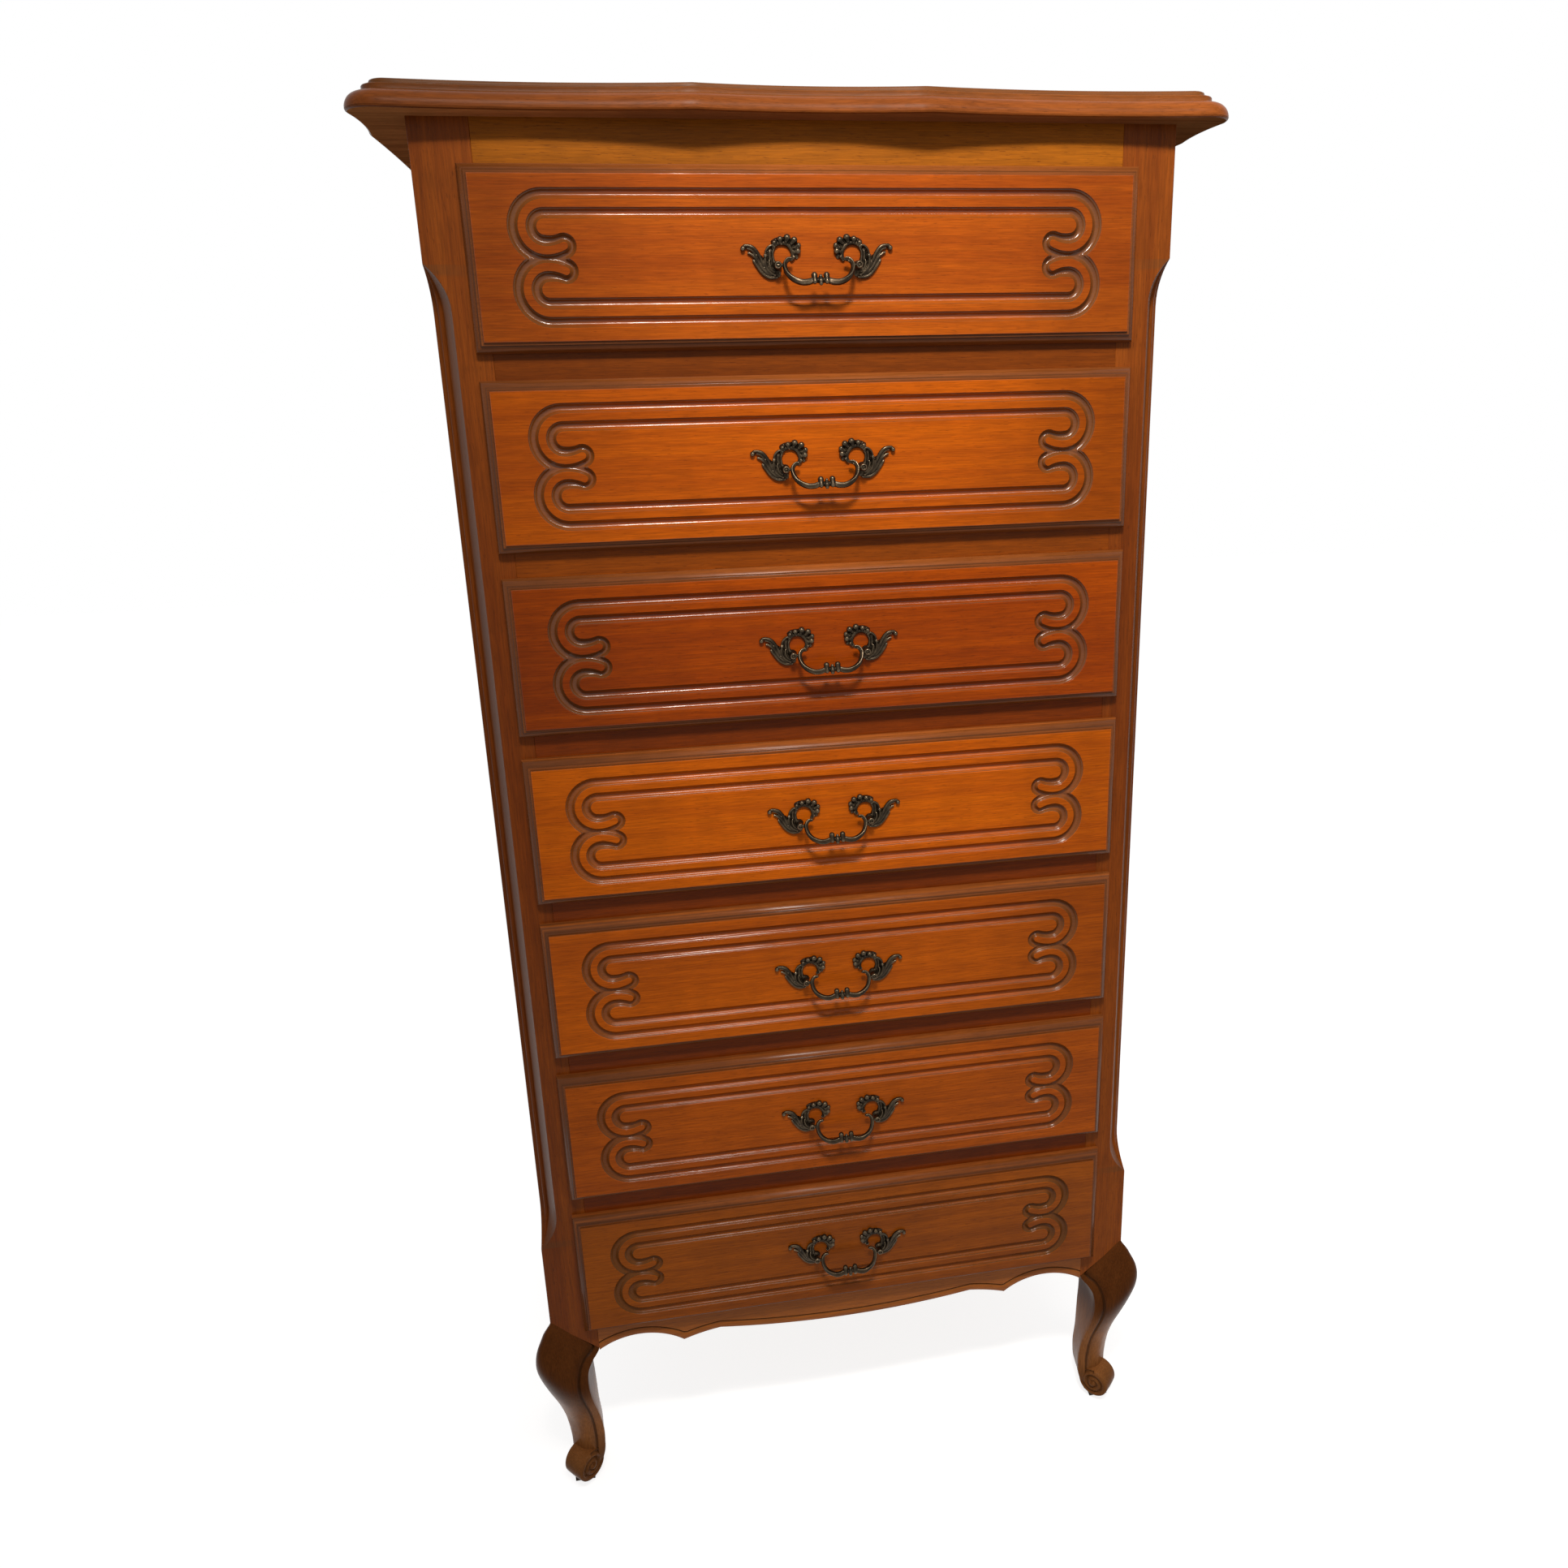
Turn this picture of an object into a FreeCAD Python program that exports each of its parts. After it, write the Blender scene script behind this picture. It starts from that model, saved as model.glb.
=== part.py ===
"""Semainier: a tall chest of seven drawers on cabriole legs, as separate jointed pieces.

Millimetres. +Z up, +X to the right seen from the front, the front faces -Y.
The origin is on the floor, at the middle of the whole object's box.
Inside this file y = 0 is the front face of the posts and rails; the last shift centres the box.
"""
import FreeCAD
import Part
import Sketcher
import math
import os
import re

Vector = FreeCAD.Vector

# ---------------------------------------------------------------- driving sizes

SIZES = {
    # carcass
    "body_width": 600.0,
    "body_depth": 350.0,
    "leg_rise": 210.0,            # floor to the bottom edge of the lowest drawer opening
    "drawer_count": 7.0,
    "opening_height": 115.0,
    "rail_height": 40.0,          # between two openings
    "top_rail_height": 42.0,
    "rail_thickness": 22.0,
    "post_width": 45.0,
    "post_depth": 45.0,
    "tenon_length": 20.0,
    "tenon_height": 24.0,
    "tenon_thickness": 10.0,
    "tenon_setback": 6.0,         # front face to tenon
    "low_tenon_length": 16.0,     # apron and lower rear rail, which end above the seam
    "low_tenon_drop": 14.0,       # lowest opening edge to the middle of these tenons
    "joint_gap": 0.1,             # clearance round every tenon, tongue, dowel and panel edge
    # top
    "top_thickness": 23.0,
    "top_slab": 19.0,             # moulded lower part of the top
    "top_round": 14.5,            # radius of the moulded edge
    "top_inset": 20.0,            # raised field of the top, from the outer edge
    "top_side_overhang": 40.0,
    "top_front_overhang": 28.0,
    "top_rear_overhang": 8.0,
    "top_wave": 6.5,              # depth of the three hollows of the front edge
    "top_side_wave": 3.0,
    "top_cusp_x": 90.0,
    "top_side_cusp": 100.0,       # front edge to the cusp of the side edge
    "top_corner": 22.0,
    # cant of the front posts
    "cant_front": 18.0,
    "cant_side": 25.0,
    "cant_top_margin": 104.0,     # carcass top to the upper tip of the cant
    "cant_foot_margin": 96.0,     # lowest opening edge to the lower tip of the cant
    "cant_runout": 36.0,
    # seam between a post and its leg
    "seam_run": 38.0,
    "seam_drop": 37.0,
    "dowel_radius": 9.0,
    "dowel_length": 60.0,
    "dowel_inset": 18.0,          # outer face of the posts to the dowel's axis
    # front apron, heights below the lowest opening edge
    "apron_end_drop": 42.0,
    "apron_arch_drop": 29.5,
    "apron_cusp_drop": 44.5,
    "apron_swell_drop": 36.0,
    "apron_centre_drop": 45.0,
    "apron_cusp_x": 170.0,
    "apron_swell_x": 132.0,
    # sides and back
    "side_rail_height": 60.0,
    "side_rail_thickness": 22.0,
    "side_apron_rise": 30.0,      # above the lowest opening edge
    "side_arch_drop": 8.0,
    "side_cusp_drop": 30.0,
    "panel_thickness": 10.0,
    "panel_recess": 8.0,          # outer face of the posts to the panel
    "groove_depth": 8.0,
    "back_thickness": 5.0,
    "back_rebate": 10.0,
    "back_foot_drop": 30.0,       # lowest opening edge to the lower edge of the back
    "rear_rail_height": 45.0,
    "rear_rail_thickness": 20.0,
    # runners
    "runner_width": 20.0,
    "runner_height": 20.0,
    "guide_width": 15.0,
    "guide_height": 12.0,
    # drawer fronts
    "lap_side": 12.5,             # front over the posts
    "lap_end": 10.0,              # front over the rails
    "front_proud": 13.0,
    "front_inside": 9.0,          # part of the front behind the carcass face
    "front_seat_gap": 0.2,
    "field_step": 2.0,
    "lip_margin": 8.0,
    "lip_round": 6.5,
    "plug_gap_side": 1.5,
    "plug_gap_end": 1.0,
    # drawer boxes
    "runner_gap": 0.3,
    "drawer_rear_gap": 5.0,
    "drawer_side_thickness": 12.0,
    "drawer_headroom": 11.0,        # rail above the opening to the top edge of the drawer sides
    "drawer_back_thickness": 10.0,
    "drawer_back_setback": 10.0,
    "drawer_bottom_thickness": 5.0,
    "drawer_bottom_rise": 8.0,
    "drawer_groove": 5.0,
    "tail_count": 3.0,
    "tail_root": 14.0,
    "tail_tip": 19.0,
    "tail_length": 8.0,
    # pulls
    "pull_spacing": 64.0,
    "pull_below_centre": 6.75,    # drawer centre down to the pivots
    "plate_thickness": 2.5,
    "pivot_proud": 9.0,           # face of the drawer to the pivot axis
    "knob_radius": 3.2,
    "stud_radius": 2.0,
    "stud_hole_gap": 0.25,
    "stud_tail": 6.0,
    "nut_flats": 7.0,
    "nut_thickness": 3.2,
    "pin_radius": 1.25,
    "pin_gap": 0.05,              # clearance of the bail's pin in the knob
    "bail_wire": 1.8,
    "bail_side_gap": 0.2,         # bail to the knobs that it hangs between
    "bail_drop": 15.6,
    "bail_corner": 9.0,
    "bail_knop": 3.2,
    "bail_lean": 30.0,            # degrees forward of straight down, held off by its stops
    # legs: foot
    "glide_thickness": 5.0,
    "leg_pattern": 205.0,         # height from sole to seam that the leg sections are drawn for
    "glide_side": 20.0,
    "scroll_radius": 17.0,
    "scroll_rise": 24.0,
    "scroll_inset": 17.0,         # outer faces of the post in to the scroll's axis
    "scroll_half_length": 13.0,
    "rear_scroll_inset": 13.0,
}

# Leg sections: rise above the sole on the leg's pattern, swell beyond the post's outer faces, side of
# the square, cant of its outer corner, and depth of the rear leg, which is flat at the back.
LEG_SECTIONS = (
    ("sole", 0.0, -3.0, 26.0, 17.0, 28.0),
    ("toe", 20.0, -3.5, 31.0, 23.0, 29.0),
    ("ankle", 45.0, -1.0, 34.0, 26.0, 31.0),
    ("shin", 70.0, 3.0, 38.0, 28.0, 33.0),
    ("calf", 95.0, 10.0, 45.0, 33.0, 37.0),
    ("underknee", 120.0, 20.0, 60.0, 43.0, 41.0),
    ("knee", 145.0, 25.0, 68.0, 48.0, 43.5),
    ("overknee", 173.0, 17.0, 61.0, 34.0, 44.0),
    ("seam", 206.0, 2.0, 46.0, 6.0, 44.5),
)
for name, rise, swell, side, cant, rear_depth in LEG_SECTIONS:
    SIZES.update({
        name + "_rise": rise,
        name + "_swell": swell,
        name + "_side": side,
        name + "_cant": cant,
        name + "_rear_depth": rear_depth,
    })

# ---------------------------------------------------------------- sizes worked out from them

FORMULAS = {
    "half_body": "body_width / 2",
    "half_opening": "half_body - post_width",
    "row_pitch": "opening_height + rail_height",
    "carcass_top": "leg_rise + drawer_count * row_pitch - rail_height + top_rail_height",
    "total_height": "carcass_top + top_thickness",
    "seam_low": "leg_rise - seam_drop",
    "seam_diagonal": "seam_run * sqrt(0.5)",
    "seam_slope": "seam_drop / seam_diagonal",
    "cant_chord": "sqrt(cant_front ^ 2 + cant_side ^ 2)",
    "cant_depth": "cant_front * cant_side / cant_chord",
    "cant_arc": "(cant_runout ^ 2 + cant_depth ^ 2) / (2 * cant_depth)",
    "cant_high": "carcass_top - cant_top_margin",
    "cant_low": "leg_rise + cant_foot_margin",
    "rear_face": "body_depth - back_thickness",
    "rear_rail_front": "rear_face - rear_rail_thickness",
    "rear_post_front": "body_depth - post_depth",
    "panel_outer": "half_body - panel_recess",
    "panel_inner": "panel_outer - panel_thickness",
    "side_rail_inner": "half_body - side_rail_thickness",
    "side_apron_top": "leg_rise + side_apron_rise",
    "tongue": "groove_depth - joint_gap",
    "half_front": "half_opening + lap_side",
    "half_field": "half_front - lip_margin",
    "front_face": "-front_proud",
    "lip_face": "field_step - front_proud",
    "half_box": "half_opening - plug_gap_side",
    "half_box_inside": "half_box - drawer_side_thickness",
    "box_rear": "rear_rail_front - drawer_rear_gap",
    "box_back_rear": "box_rear - drawer_back_setback",
    "box_back_front": "box_back_rear - drawer_back_thickness",
    "box_floor": "runner_gap + drawer_bottom_rise",
    "box_floor_top": "box_floor + drawer_bottom_thickness",
    "drawer_side_height": "opening_height - drawer_headroom",
    "box_side_top": "runner_gap + drawer_side_height",
    "pivot_height": "opening_height / 2 - pull_below_centre",
    "half_pull": "pull_spacing / 2",
    "plate_face": "front_face - plate_thickness",
    "pivot_y": "front_face - pivot_proud",
    "eye_radius": "pin_radius + pin_gap",
    "bail_half_width": "half_pull - knob_radius - bail_side_gap - bail_wire",
    "bail_reach": "bail_drop * sin(bail_lean) + bail_knop",
    "foremost": "-(front_proud + pivot_proud + bail_reach)",
    "rearmost": "body_depth + top_rear_overhang",
    "centre_shift": "-(foremost + rearmost) / 2",
}
for section in LEG_SECTIONS:
    FORMULAS[section[0] + "_height"] = (
        "glide_thickness + (leg_rise - glide_thickness) * %s_rise / leg_pattern" % section[0])

doc = FreeCAD.newDocument("semainier")
sheet = doc.addObject("Spreadsheet::Sheet", "Sizes")


def fill_sheet():
    """One row for each driving size: its name, and its value with that name as alias."""
    for row, (alias, number) in enumerate(SIZES.items(), start=1):
        sheet.set("A%d" % row, alias)
        sheet.set("B%d" % row, str(number))
        sheet.setAlias("B%d" % row, alias)
    doc.recompute()


def written_out(formula):
    """A formula in plain size names as an expression on the sheet's cells."""
    def swap(match):
        word = match.group(0)
        if word in FORMULAS:
            return "(" + written_out(FORMULAS[word]) + ")"
        if word in SIZES:
            return "Sizes." + word
        return word
    return re.sub(r"[A-Za-z_]\w*", swap, str(formula))


def value(formula):
    return float(sheet.evalExpression(written_out(formula)))


def bind(target, path, formula):
    target.setExpression(path, written_out(formula))


# ---------------------------------------------------------------- sketches and features

PLANE_ROLES = {"XY": "XY_Plane", "XZ": "XZ_Plane", "YZ": "YZ_Plane"}
# The XZ plane's normal points along -Y, the other two along their + axis.
NORMAL_SIGN = {"XY": 1, "XZ": -1, "YZ": 1}


def new_body(label):
    body = doc.addObject("PartDesign::Body", label)
    body.Label = label
    return body


def new_sketch(body, plane, level="0", swing=None):
    """A sketch on one of the body's own planes, at a level along the plane's axis.

    swing is (u, n, degrees): the sketch is moved in its plane and turned about its upright axis.
    """
    sketch = body.newObject("Sketcher::SketchObject", body.Name + "_sketch")
    origin_plane = [o for o in body.Origin.OriginFeatures if o.Role == PLANE_ROLES[plane]][0]
    sketch.AttachmentSupport = (origin_plane, [""])
    sketch.MapMode = "FlatFace"
    if swing is None:
        bind(sketch, "AttachmentOffset.Base.z", "%d * (%s)" % (NORMAL_SIGN[plane], level))
    else:
        u, n, degrees = swing
        turn = FreeCAD.Rotation(Vector(0, 1, 0), value(degrees))
        sketch.AttachmentOffset = FreeCAD.Placement(Vector(0, 0, 0), turn)
        bind(sketch, "AttachmentOffset.Base.x", u)
        bind(sketch, "AttachmentOffset.Base.z", n)
        bind(sketch, "AttachmentOffset.Rotation.Angle", degrees)
    return sketch


def arc_by_rise(start, end, rise):
    """Radius of an arc between two corners that stands out by rise at its middle."""
    chord_square = "(((%s) - (%s)) ^ 2 + ((%s) - (%s)) ^ 2)" % (end[0], start[0], end[1], start[1])
    return "%s / (8 * (%s)) + (%s) / 2" % (chord_square, rise, rise)


def edge_geometry(start, end, radius, side):
    """A line, or the short arc that passes to the right (side 1) or left (-1) of the straight line."""
    a = Vector(start[0], start[1], 0)
    b = Vector(end[0], end[1], 0)
    if radius is None:
        return Part.LineSegment(a, b)
    along = b - a
    reach = math.sqrt(max(radius ** 2 - along.Length ** 2 / 4, 0))
    left = Vector(-along.y, along.x, 0).normalize()
    centre = (a + b) * 0.5 + left * (reach * side)
    first, last = (a, b) if side > 0 else (b, a)
    first_angle = math.atan2(first.y - centre.y, first.x - centre.x)
    last_angle = math.atan2(last.y - centre.y, last.x - centre.x)
    circle = Part.Circle(centre, Vector(0, 0, 1), radius)
    return Part.ArcOfCircle(circle, first_angle, last_angle)


def draw_outline(sketch, corners):
    """A closed outline. Each corner is (u, v) or (u, v, radius, side), where the edge that leaves
    the corner is an arc. Every corner and radius is bound to its formula."""
    sides = []
    for i, corner in enumerate(corners):
        following = corners[(i + 1) % len(corners)]
        radius = value(corner[2]) if len(corner) > 2 else None
        side = corner[3] if len(corner) > 2 else 0
        sides.append(side)
        start = (value(corner[0]), value(corner[1]))
        end = (value(following[0]), value(following[1]))
        sketch.addGeometry(edge_geometry(start, end, radius, side), False)
    tails = [2 if side < 0 else 1 for side in sides]
    heads = [1 if side < 0 else 2 for side in sides]
    for i, corner in enumerate(corners):
        following = (i + 1) % len(corners)
        sketch.addConstraint(Sketcher.Constraint("Coincident", i, heads[i], following, tails[following]))
        for kind, formula in (("DistanceX", corner[0]), ("DistanceY", corner[1])):
            link = Sketcher.Constraint(kind, -1, 1, i, tails[i], value(formula))
            bind(sketch, "Constraints[%d]" % sketch.addConstraint(link), formula)
        if len(corner) > 2:
            link = Sketcher.Constraint("Radius", i, value(corner[2]))
            bind(sketch, "Constraints[%d]" % sketch.addConstraint(link), corner[2])


def draw_circle(sketch, u, v, radius):
    index = sketch.addGeometry(
        Part.Circle(Vector(value(u), value(v), 0), Vector(0, 0, 1), value(radius)), False)
    for kind, formula in (("DistanceX", u), ("DistanceY", v)):
        link = Sketcher.Constraint(kind, -1, 1, index, 3, value(formula))
        bind(sketch, "Constraints[%d]" % sketch.addConstraint(link), formula)
    link = Sketcher.Constraint("Radius", index, value(radius))
    bind(sketch, "Constraints[%d]" % sketch.addConstraint(link), radius)


def rectangle(u_low, u_high, v_low, v_high):
    return [(u_low, v_low), (u_high, v_low), (u_high, v_high), (u_low, v_high)]


def sized_feature(body, kind, sketch, length, symmetric=False):
    """A Pad or Pocket of a sketch."""
    feature = body.newObject("PartDesign::" + kind, body.Name + "_" + kind.lower())
    feature.Profile = sketch
    feature.Type = "Length"
    feature.SideType = "Symmetric" if symmetric else "One side"
    bind(feature, "Length", length)
    return feature


def slab(body, kind, plane, low, high, outline=None, circle=None):
    """A Pad or Pocket between two levels along the axis that is square to a plane."""
    pads_upward = (kind == "Pad") == (NORMAL_SIGN[plane] > 0)
    sketch = new_sketch(body, plane, low if pads_upward else high)
    if outline is not None:
        draw_outline(sketch, outline)
    else:
        draw_circle(sketch, *circle)
    return sized_feature(body, kind, sketch, "(%s) - (%s)" % (high, low))


def block(body, x_low, x_high, y_low, y_high, z_low, z_high, kind="Pad"):
    return slab(body, kind, "XY", z_low, z_high, rectangle(x_low, x_high, y_low, y_high))


def loft_through(body, outlines, ruled=False):
    """One solid through outlines at rising heights, smooth from one to the next or ruled."""
    sketches = []
    for height, outline in outlines:
        sketch = new_sketch(body, "XY", height)
        draw_outline(sketch, outline)
        sketches.append(sketch)
    loft = body.newObject("PartDesign::AdditiveLoft", body.Name + "_loft")
    loft.Profile = sketches[0]
    loft.Sections = sketches[1:]
    loft.Ruled = ruled


def round_edges(body, radius, chosen):
    """A Fillet on the edges of the body's newest feature that the test chooses."""
    doc.recompute()
    base = body.Tip
    names = ["Edge%d" % n for n, edge in enumerate(base.Shape.Edges, start=1) if chosen(edge)]
    fillet = body.newObject("PartDesign::Fillet", body.Name + "_fillet")
    fillet.Base = (base, names)
    bind(fillet, "Radius", radius)


def in_place(sub_part, lift="0"):
    """The shift that centres the whole object, and the height of a drawer's row."""
    bind(sub_part, "Placement.Base.y", "centre_shift")
    bind(sub_part, "Placement.Base.z", lift)
    return sub_part


def mirrored(label, source):
    """The left-hand twin of a right-hand piece."""
    twin = doc.addObject("Part::Mirroring", label)
    twin.Label = label
    twin.Source = source
    twin.Normal = Vector(1, 0, 0)
    return twin


def grouped(label, members):
    group = doc.addObject("Part::Compound", label)
    group.Label = label
    group.Links = members
    return group


# ---------------------------------------------------------------- top

def top_outline(inset):
    """Serpentine outline of the top, moved in by inset: three hollows in front, two on each side."""
    half = "half_body + top_side_overhang - (%s)" % inset
    front = "(%s) - top_front_overhang" % inset
    rear = "body_depth + top_rear_overhang"
    corner = "(top_corner - (%s))" % inset
    corner_y = "(%s) + top_wave / 4 + %s" % (front, corner)
    cusp_y = "top_side_cusp - top_front_overhang"
    left, right = "-(%s)" % half, half
    points = [
        ("-top_cusp_x", front), ("top_cusp_x", front),
        ("(%s) - %s" % (right, corner), "(%s) - %s" % (corner_y, corner)), (right, corner_y),
        (right, cusp_y), (right, rear),
        (left, rear), (left, cusp_y),
        (left, corner_y), ("(%s) + %s" % (left, corner), "(%s) - %s" % (corner_y, corner)),
    ]
    rises = ["top_wave", "top_wave", None, "top_side_wave", "top_side_wave",
             "", "top_side_wave", "top_side_wave", None, "top_wave"]
    corners = []
    for i, (point, rise) in enumerate(zip(points, rises)):
        if rise is None:
            corners.append(point + (corner, 1))
        elif rise == "":
            corners.append(point)
        else:
            following = points[(i + 1) % len(points)]
            corners.append(point + (arc_by_rise(point, following, rise), -1))
    return corners


def make_top():
    """The moulded edge is a quarter round, the raised field above it stands further in."""
    body = new_body("top")
    slab_top = "carcass_top + top_slab"
    sections = [("carcass_top", top_outline("0"))]
    for angle in range(0, 91, 30):
        sections.append((
            "%s - top_round * (1 - sin(%d))" % (slab_top, angle),
            top_outline("top_round * (1 - cos(%d))" % angle)))
    loft_through(body, sections, ruled=True)
    slab(body, "Pad", "XY", slab_top, "total_height", top_outline("top_inset"))
    return in_place(body)


# ---------------------------------------------------------------- posts

def diagonal_sketch(body, degrees):
    """An upright sketch through the outer front corner of the right post; u runs outward."""
    return new_sketch(body, "XZ", swing=("half_body", "0", degrees))


def cut_groove_for_side(body, y_low, y_high):
    block(body, "panel_inner - joint_gap", "panel_outer + joint_gap", y_low, y_high,
          "leg_rise - apron_end_drop", "carcass_top", "Pocket")


def cut_dowel_bore(body, y_centre):
    slab(body, "Pocket", "XY", "seam_low", "seam_low + dowel_length + joint_gap",
         circle=("half_body - dowel_inset", y_centre, "dowel_radius + joint_gap"))


def cut_mortise(body, z_centre, y_low, y_high, length="tenon_length"):
    return slab(body, "Pocket", "YZ", "half_opening", "half_opening + %s + joint_gap" % length,
                rectangle("(%s) - joint_gap" % y_low, "(%s) + joint_gap" % y_high,
                          "(%s) - tenon_height / 2 - joint_gap" % z_centre,
                          "(%s) + tenon_height / 2 + joint_gap" % z_centre))


def make_front_post():
    body = new_body("post_front_right")
    block(body, "half_opening", "half_body", "0", "post_depth", "seam_low", "carcass_top")

    seam = diagonal_sketch(body, "-45")
    draw_outline(seam, [
        ("-seam_diagonal", "seam_low"),
        ("seam_diagonal", "seam_low - 1"),
        ("seam_diagonal", "leg_rise + seam_diagonal * seam_slope")])
    sized_feature(body, "Pocket", seam, "4 * post_width", symmetric=True)

    cant = diagonal_sketch(body, "-atan(cant_front / cant_side)")
    outside = "cant_depth"
    draw_outline(cant, [
        ("0", "cant_high", "cant_arc", 1),
        ("-cant_depth", "cant_high - cant_runout"),
        ("-cant_depth", "cant_low + cant_runout", "cant_arc", 1),
        ("0", "cant_low"),
        (outside, "cant_low"),
        (outside, "cant_high")])
    sized_feature(body, "Pocket", cant, "4 * post_width", symmetric=True)

    tenon_rear = "tenon_setback + tenon_thickness"
    first = cut_mortise(body, "leg_rise + opening_height + rail_height / 2", "tenon_setback", tenon_rear)
    rows = body.newObject("PartDesign::LinearPattern", "post_front_mortises")
    rows.Originals = [first]
    rows.Direction = (first.Profile[0], ["V_Axis"])
    bind(rows, "Length", "(drawer_count - 2) * row_pitch")
    bind(rows, "Occurrences", "drawer_count - 1")
    body.Tip = rows
    cut_mortise(body, "carcass_top - top_rail_height / 2", "tenon_setback", tenon_rear)
    cut_mortise(body, "leg_rise - low_tenon_drop", "tenon_setback", tenon_rear, "low_tenon_length")
    cut_groove_for_side(body, "post_depth - groove_depth", "post_depth")
    cut_dowel_bore(body, "post_depth / 2")
    return in_place(body)


def make_rear_post():
    body = new_body("post_rear_right")
    block(body, "half_opening", "half_body", "rear_post_front", "body_depth", "seam_low", "carcass_top")
    slab(body, "Pocket", "XZ", "rear_post_front", "body_depth", [
        ("half_body - seam_run", "seam_low"),
        ("half_body", "seam_low"),
        ("half_body", "leg_rise")])
    for z_centre, length in (("carcass_top - rear_rail_height / 2", "tenon_length"),
                             ("leg_rise - low_tenon_drop", "low_tenon_length")):
        cut_mortise(body, z_centre, "rear_rail_front + tenon_setback",
                    "rear_rail_front + tenon_setback + tenon_thickness", length)
    cut_groove_for_side(body, "rear_post_front", "rear_post_front + groove_depth")
    cut_dowel_bore(body, "body_depth - post_depth / 2")
    block(body, "half_opening", "half_opening + back_rebate", "rear_face", "body_depth",
          "seam_low", "carcass_top", "Pocket")
    return in_place(body)


# ---------------------------------------------------------------- legs

def add_dowel(body, y_centre):
    slab(body, "Pad", "XY", "seam_low - dowel_radius", "seam_low + dowel_length",
         circle=("half_body - dowel_inset", y_centre, "dowel_radius"))


def front_leg_outline(name):
    """Square with its outer corner cut off, swelling equally to the side and to the front."""
    outer_x = "half_body + %s_swell" % name
    outer_y = "-%s_swell" % name
    inner_x = "%s - %s_side" % (outer_x, name)
    inner_y = "%s + %s_side" % (outer_y, name)
    return [
        (inner_x, inner_y),
        (inner_x, outer_y),
        ("%s - %s_cant" % (outer_x, name), outer_y),
        (outer_x, "%s + %s_cant" % (outer_y, name)),
        (outer_x, inner_y)]


def make_front_leg():
    body = new_body("leg_front_right")
    names = [section[0] for section in LEG_SECTIONS]
    loft_through(body, [(name + "_height", front_leg_outline(name)) for name in names])
    seam = diagonal_sketch(body, "-45")
    high = "leg_rise + knee_side"
    draw_outline(seam, [
        ("-2 * knee_side", "seam_low"),
        ("-seam_diagonal", "seam_low"),
        ("seam_diagonal", "leg_rise + seam_diagonal * seam_slope"),
        ("seam_diagonal", high),
        ("-2 * knee_side", high)])
    sized_feature(body, "Pocket", seam, "8 * post_width", symmetric=True)
    scroll = new_sketch(body, "XZ", swing=("half_body - scroll_inset", "-scroll_inset / 2", "-45"))
    draw_circle(scroll, "0", "scroll_rise", "scroll_radius")
    sized_feature(body, "Pad", scroll, "2 * scroll_half_length", symmetric=True)
    add_dowel(body, "post_depth / 2")
    return in_place(body)


def make_rear_leg():
    body = new_body("leg_rear_right")
    outlines = []
    for name in [section[0] for section in LEG_SECTIONS]:
        outer_x = "half_body + %s_swell" % name
        outlines.append((name + "_height", rectangle(
            "%s - %s_side" % (outer_x, name), outer_x,
            "body_depth - %s_rear_depth" % name, "body_depth")))
    loft_through(body, outlines)
    high = "leg_rise + knee_side"
    slab(body, "Pocket", "XZ", "rear_post_front - post_depth", "body_depth", [
        ("half_opening - knee_side", "seam_low"),
        ("half_body - seam_run", "seam_low"),
        ("half_body + seam_run", "leg_rise + seam_drop"),
        ("half_body + seam_run", high),
        ("half_opening - knee_side", high)])
    slab(body, "Pad", "XZ", "body_depth - 2 * scroll_half_length", "body_depth",
         circle=("half_body - rear_scroll_inset", "scroll_rise", "scroll_radius"))
    add_dowel(body, "body_depth - post_depth / 2")
    return in_place(body)


def make_glide(label, y_centre):
    body = new_body(label)
    x_centre = "half_body + sole_swell - sole_side / 2"
    block(body, "%s - glide_side / 2" % x_centre, "%s + glide_side / 2" % x_centre,
          "%s - glide_side / 2" % y_centre, "%s + glide_side / 2" % y_centre, "0", "glide_thickness")
    return in_place(body)


# ---------------------------------------------------------------- rails, apron, panels

def add_tenons(body, z_centre, y_front, length="tenon_length"):
    block(body, "-half_opening - " + length, "half_opening + " + length,
          "(%s) + tenon_setback" % y_front, "(%s) + tenon_setback + tenon_thickness" % y_front,
          "(%s) - tenon_height / 2" % z_centre, "(%s) + tenon_height / 2" % z_centre)


def make_front_rail(label, z_low, z_high):
    body = new_body(label)
    block(body, "-half_opening", "half_opening", "0", "rail_thickness", z_low, z_high)
    add_tenons(body, "((%s) + (%s)) / 2" % (z_low, z_high), "0")
    return in_place(body)


def make_front_rails():
    members = [make_front_rail("top_rail", "carcass_top - top_rail_height", "carcass_top")]
    for row in range(1, int(value("drawer_count"))):
        opening_bottom = "leg_rise + %d * row_pitch" % row
        members.append(make_front_rail("rail_%d" % row, opening_bottom + " - rail_height", opening_bottom))
    return grouped("front_rails", members)


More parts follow.
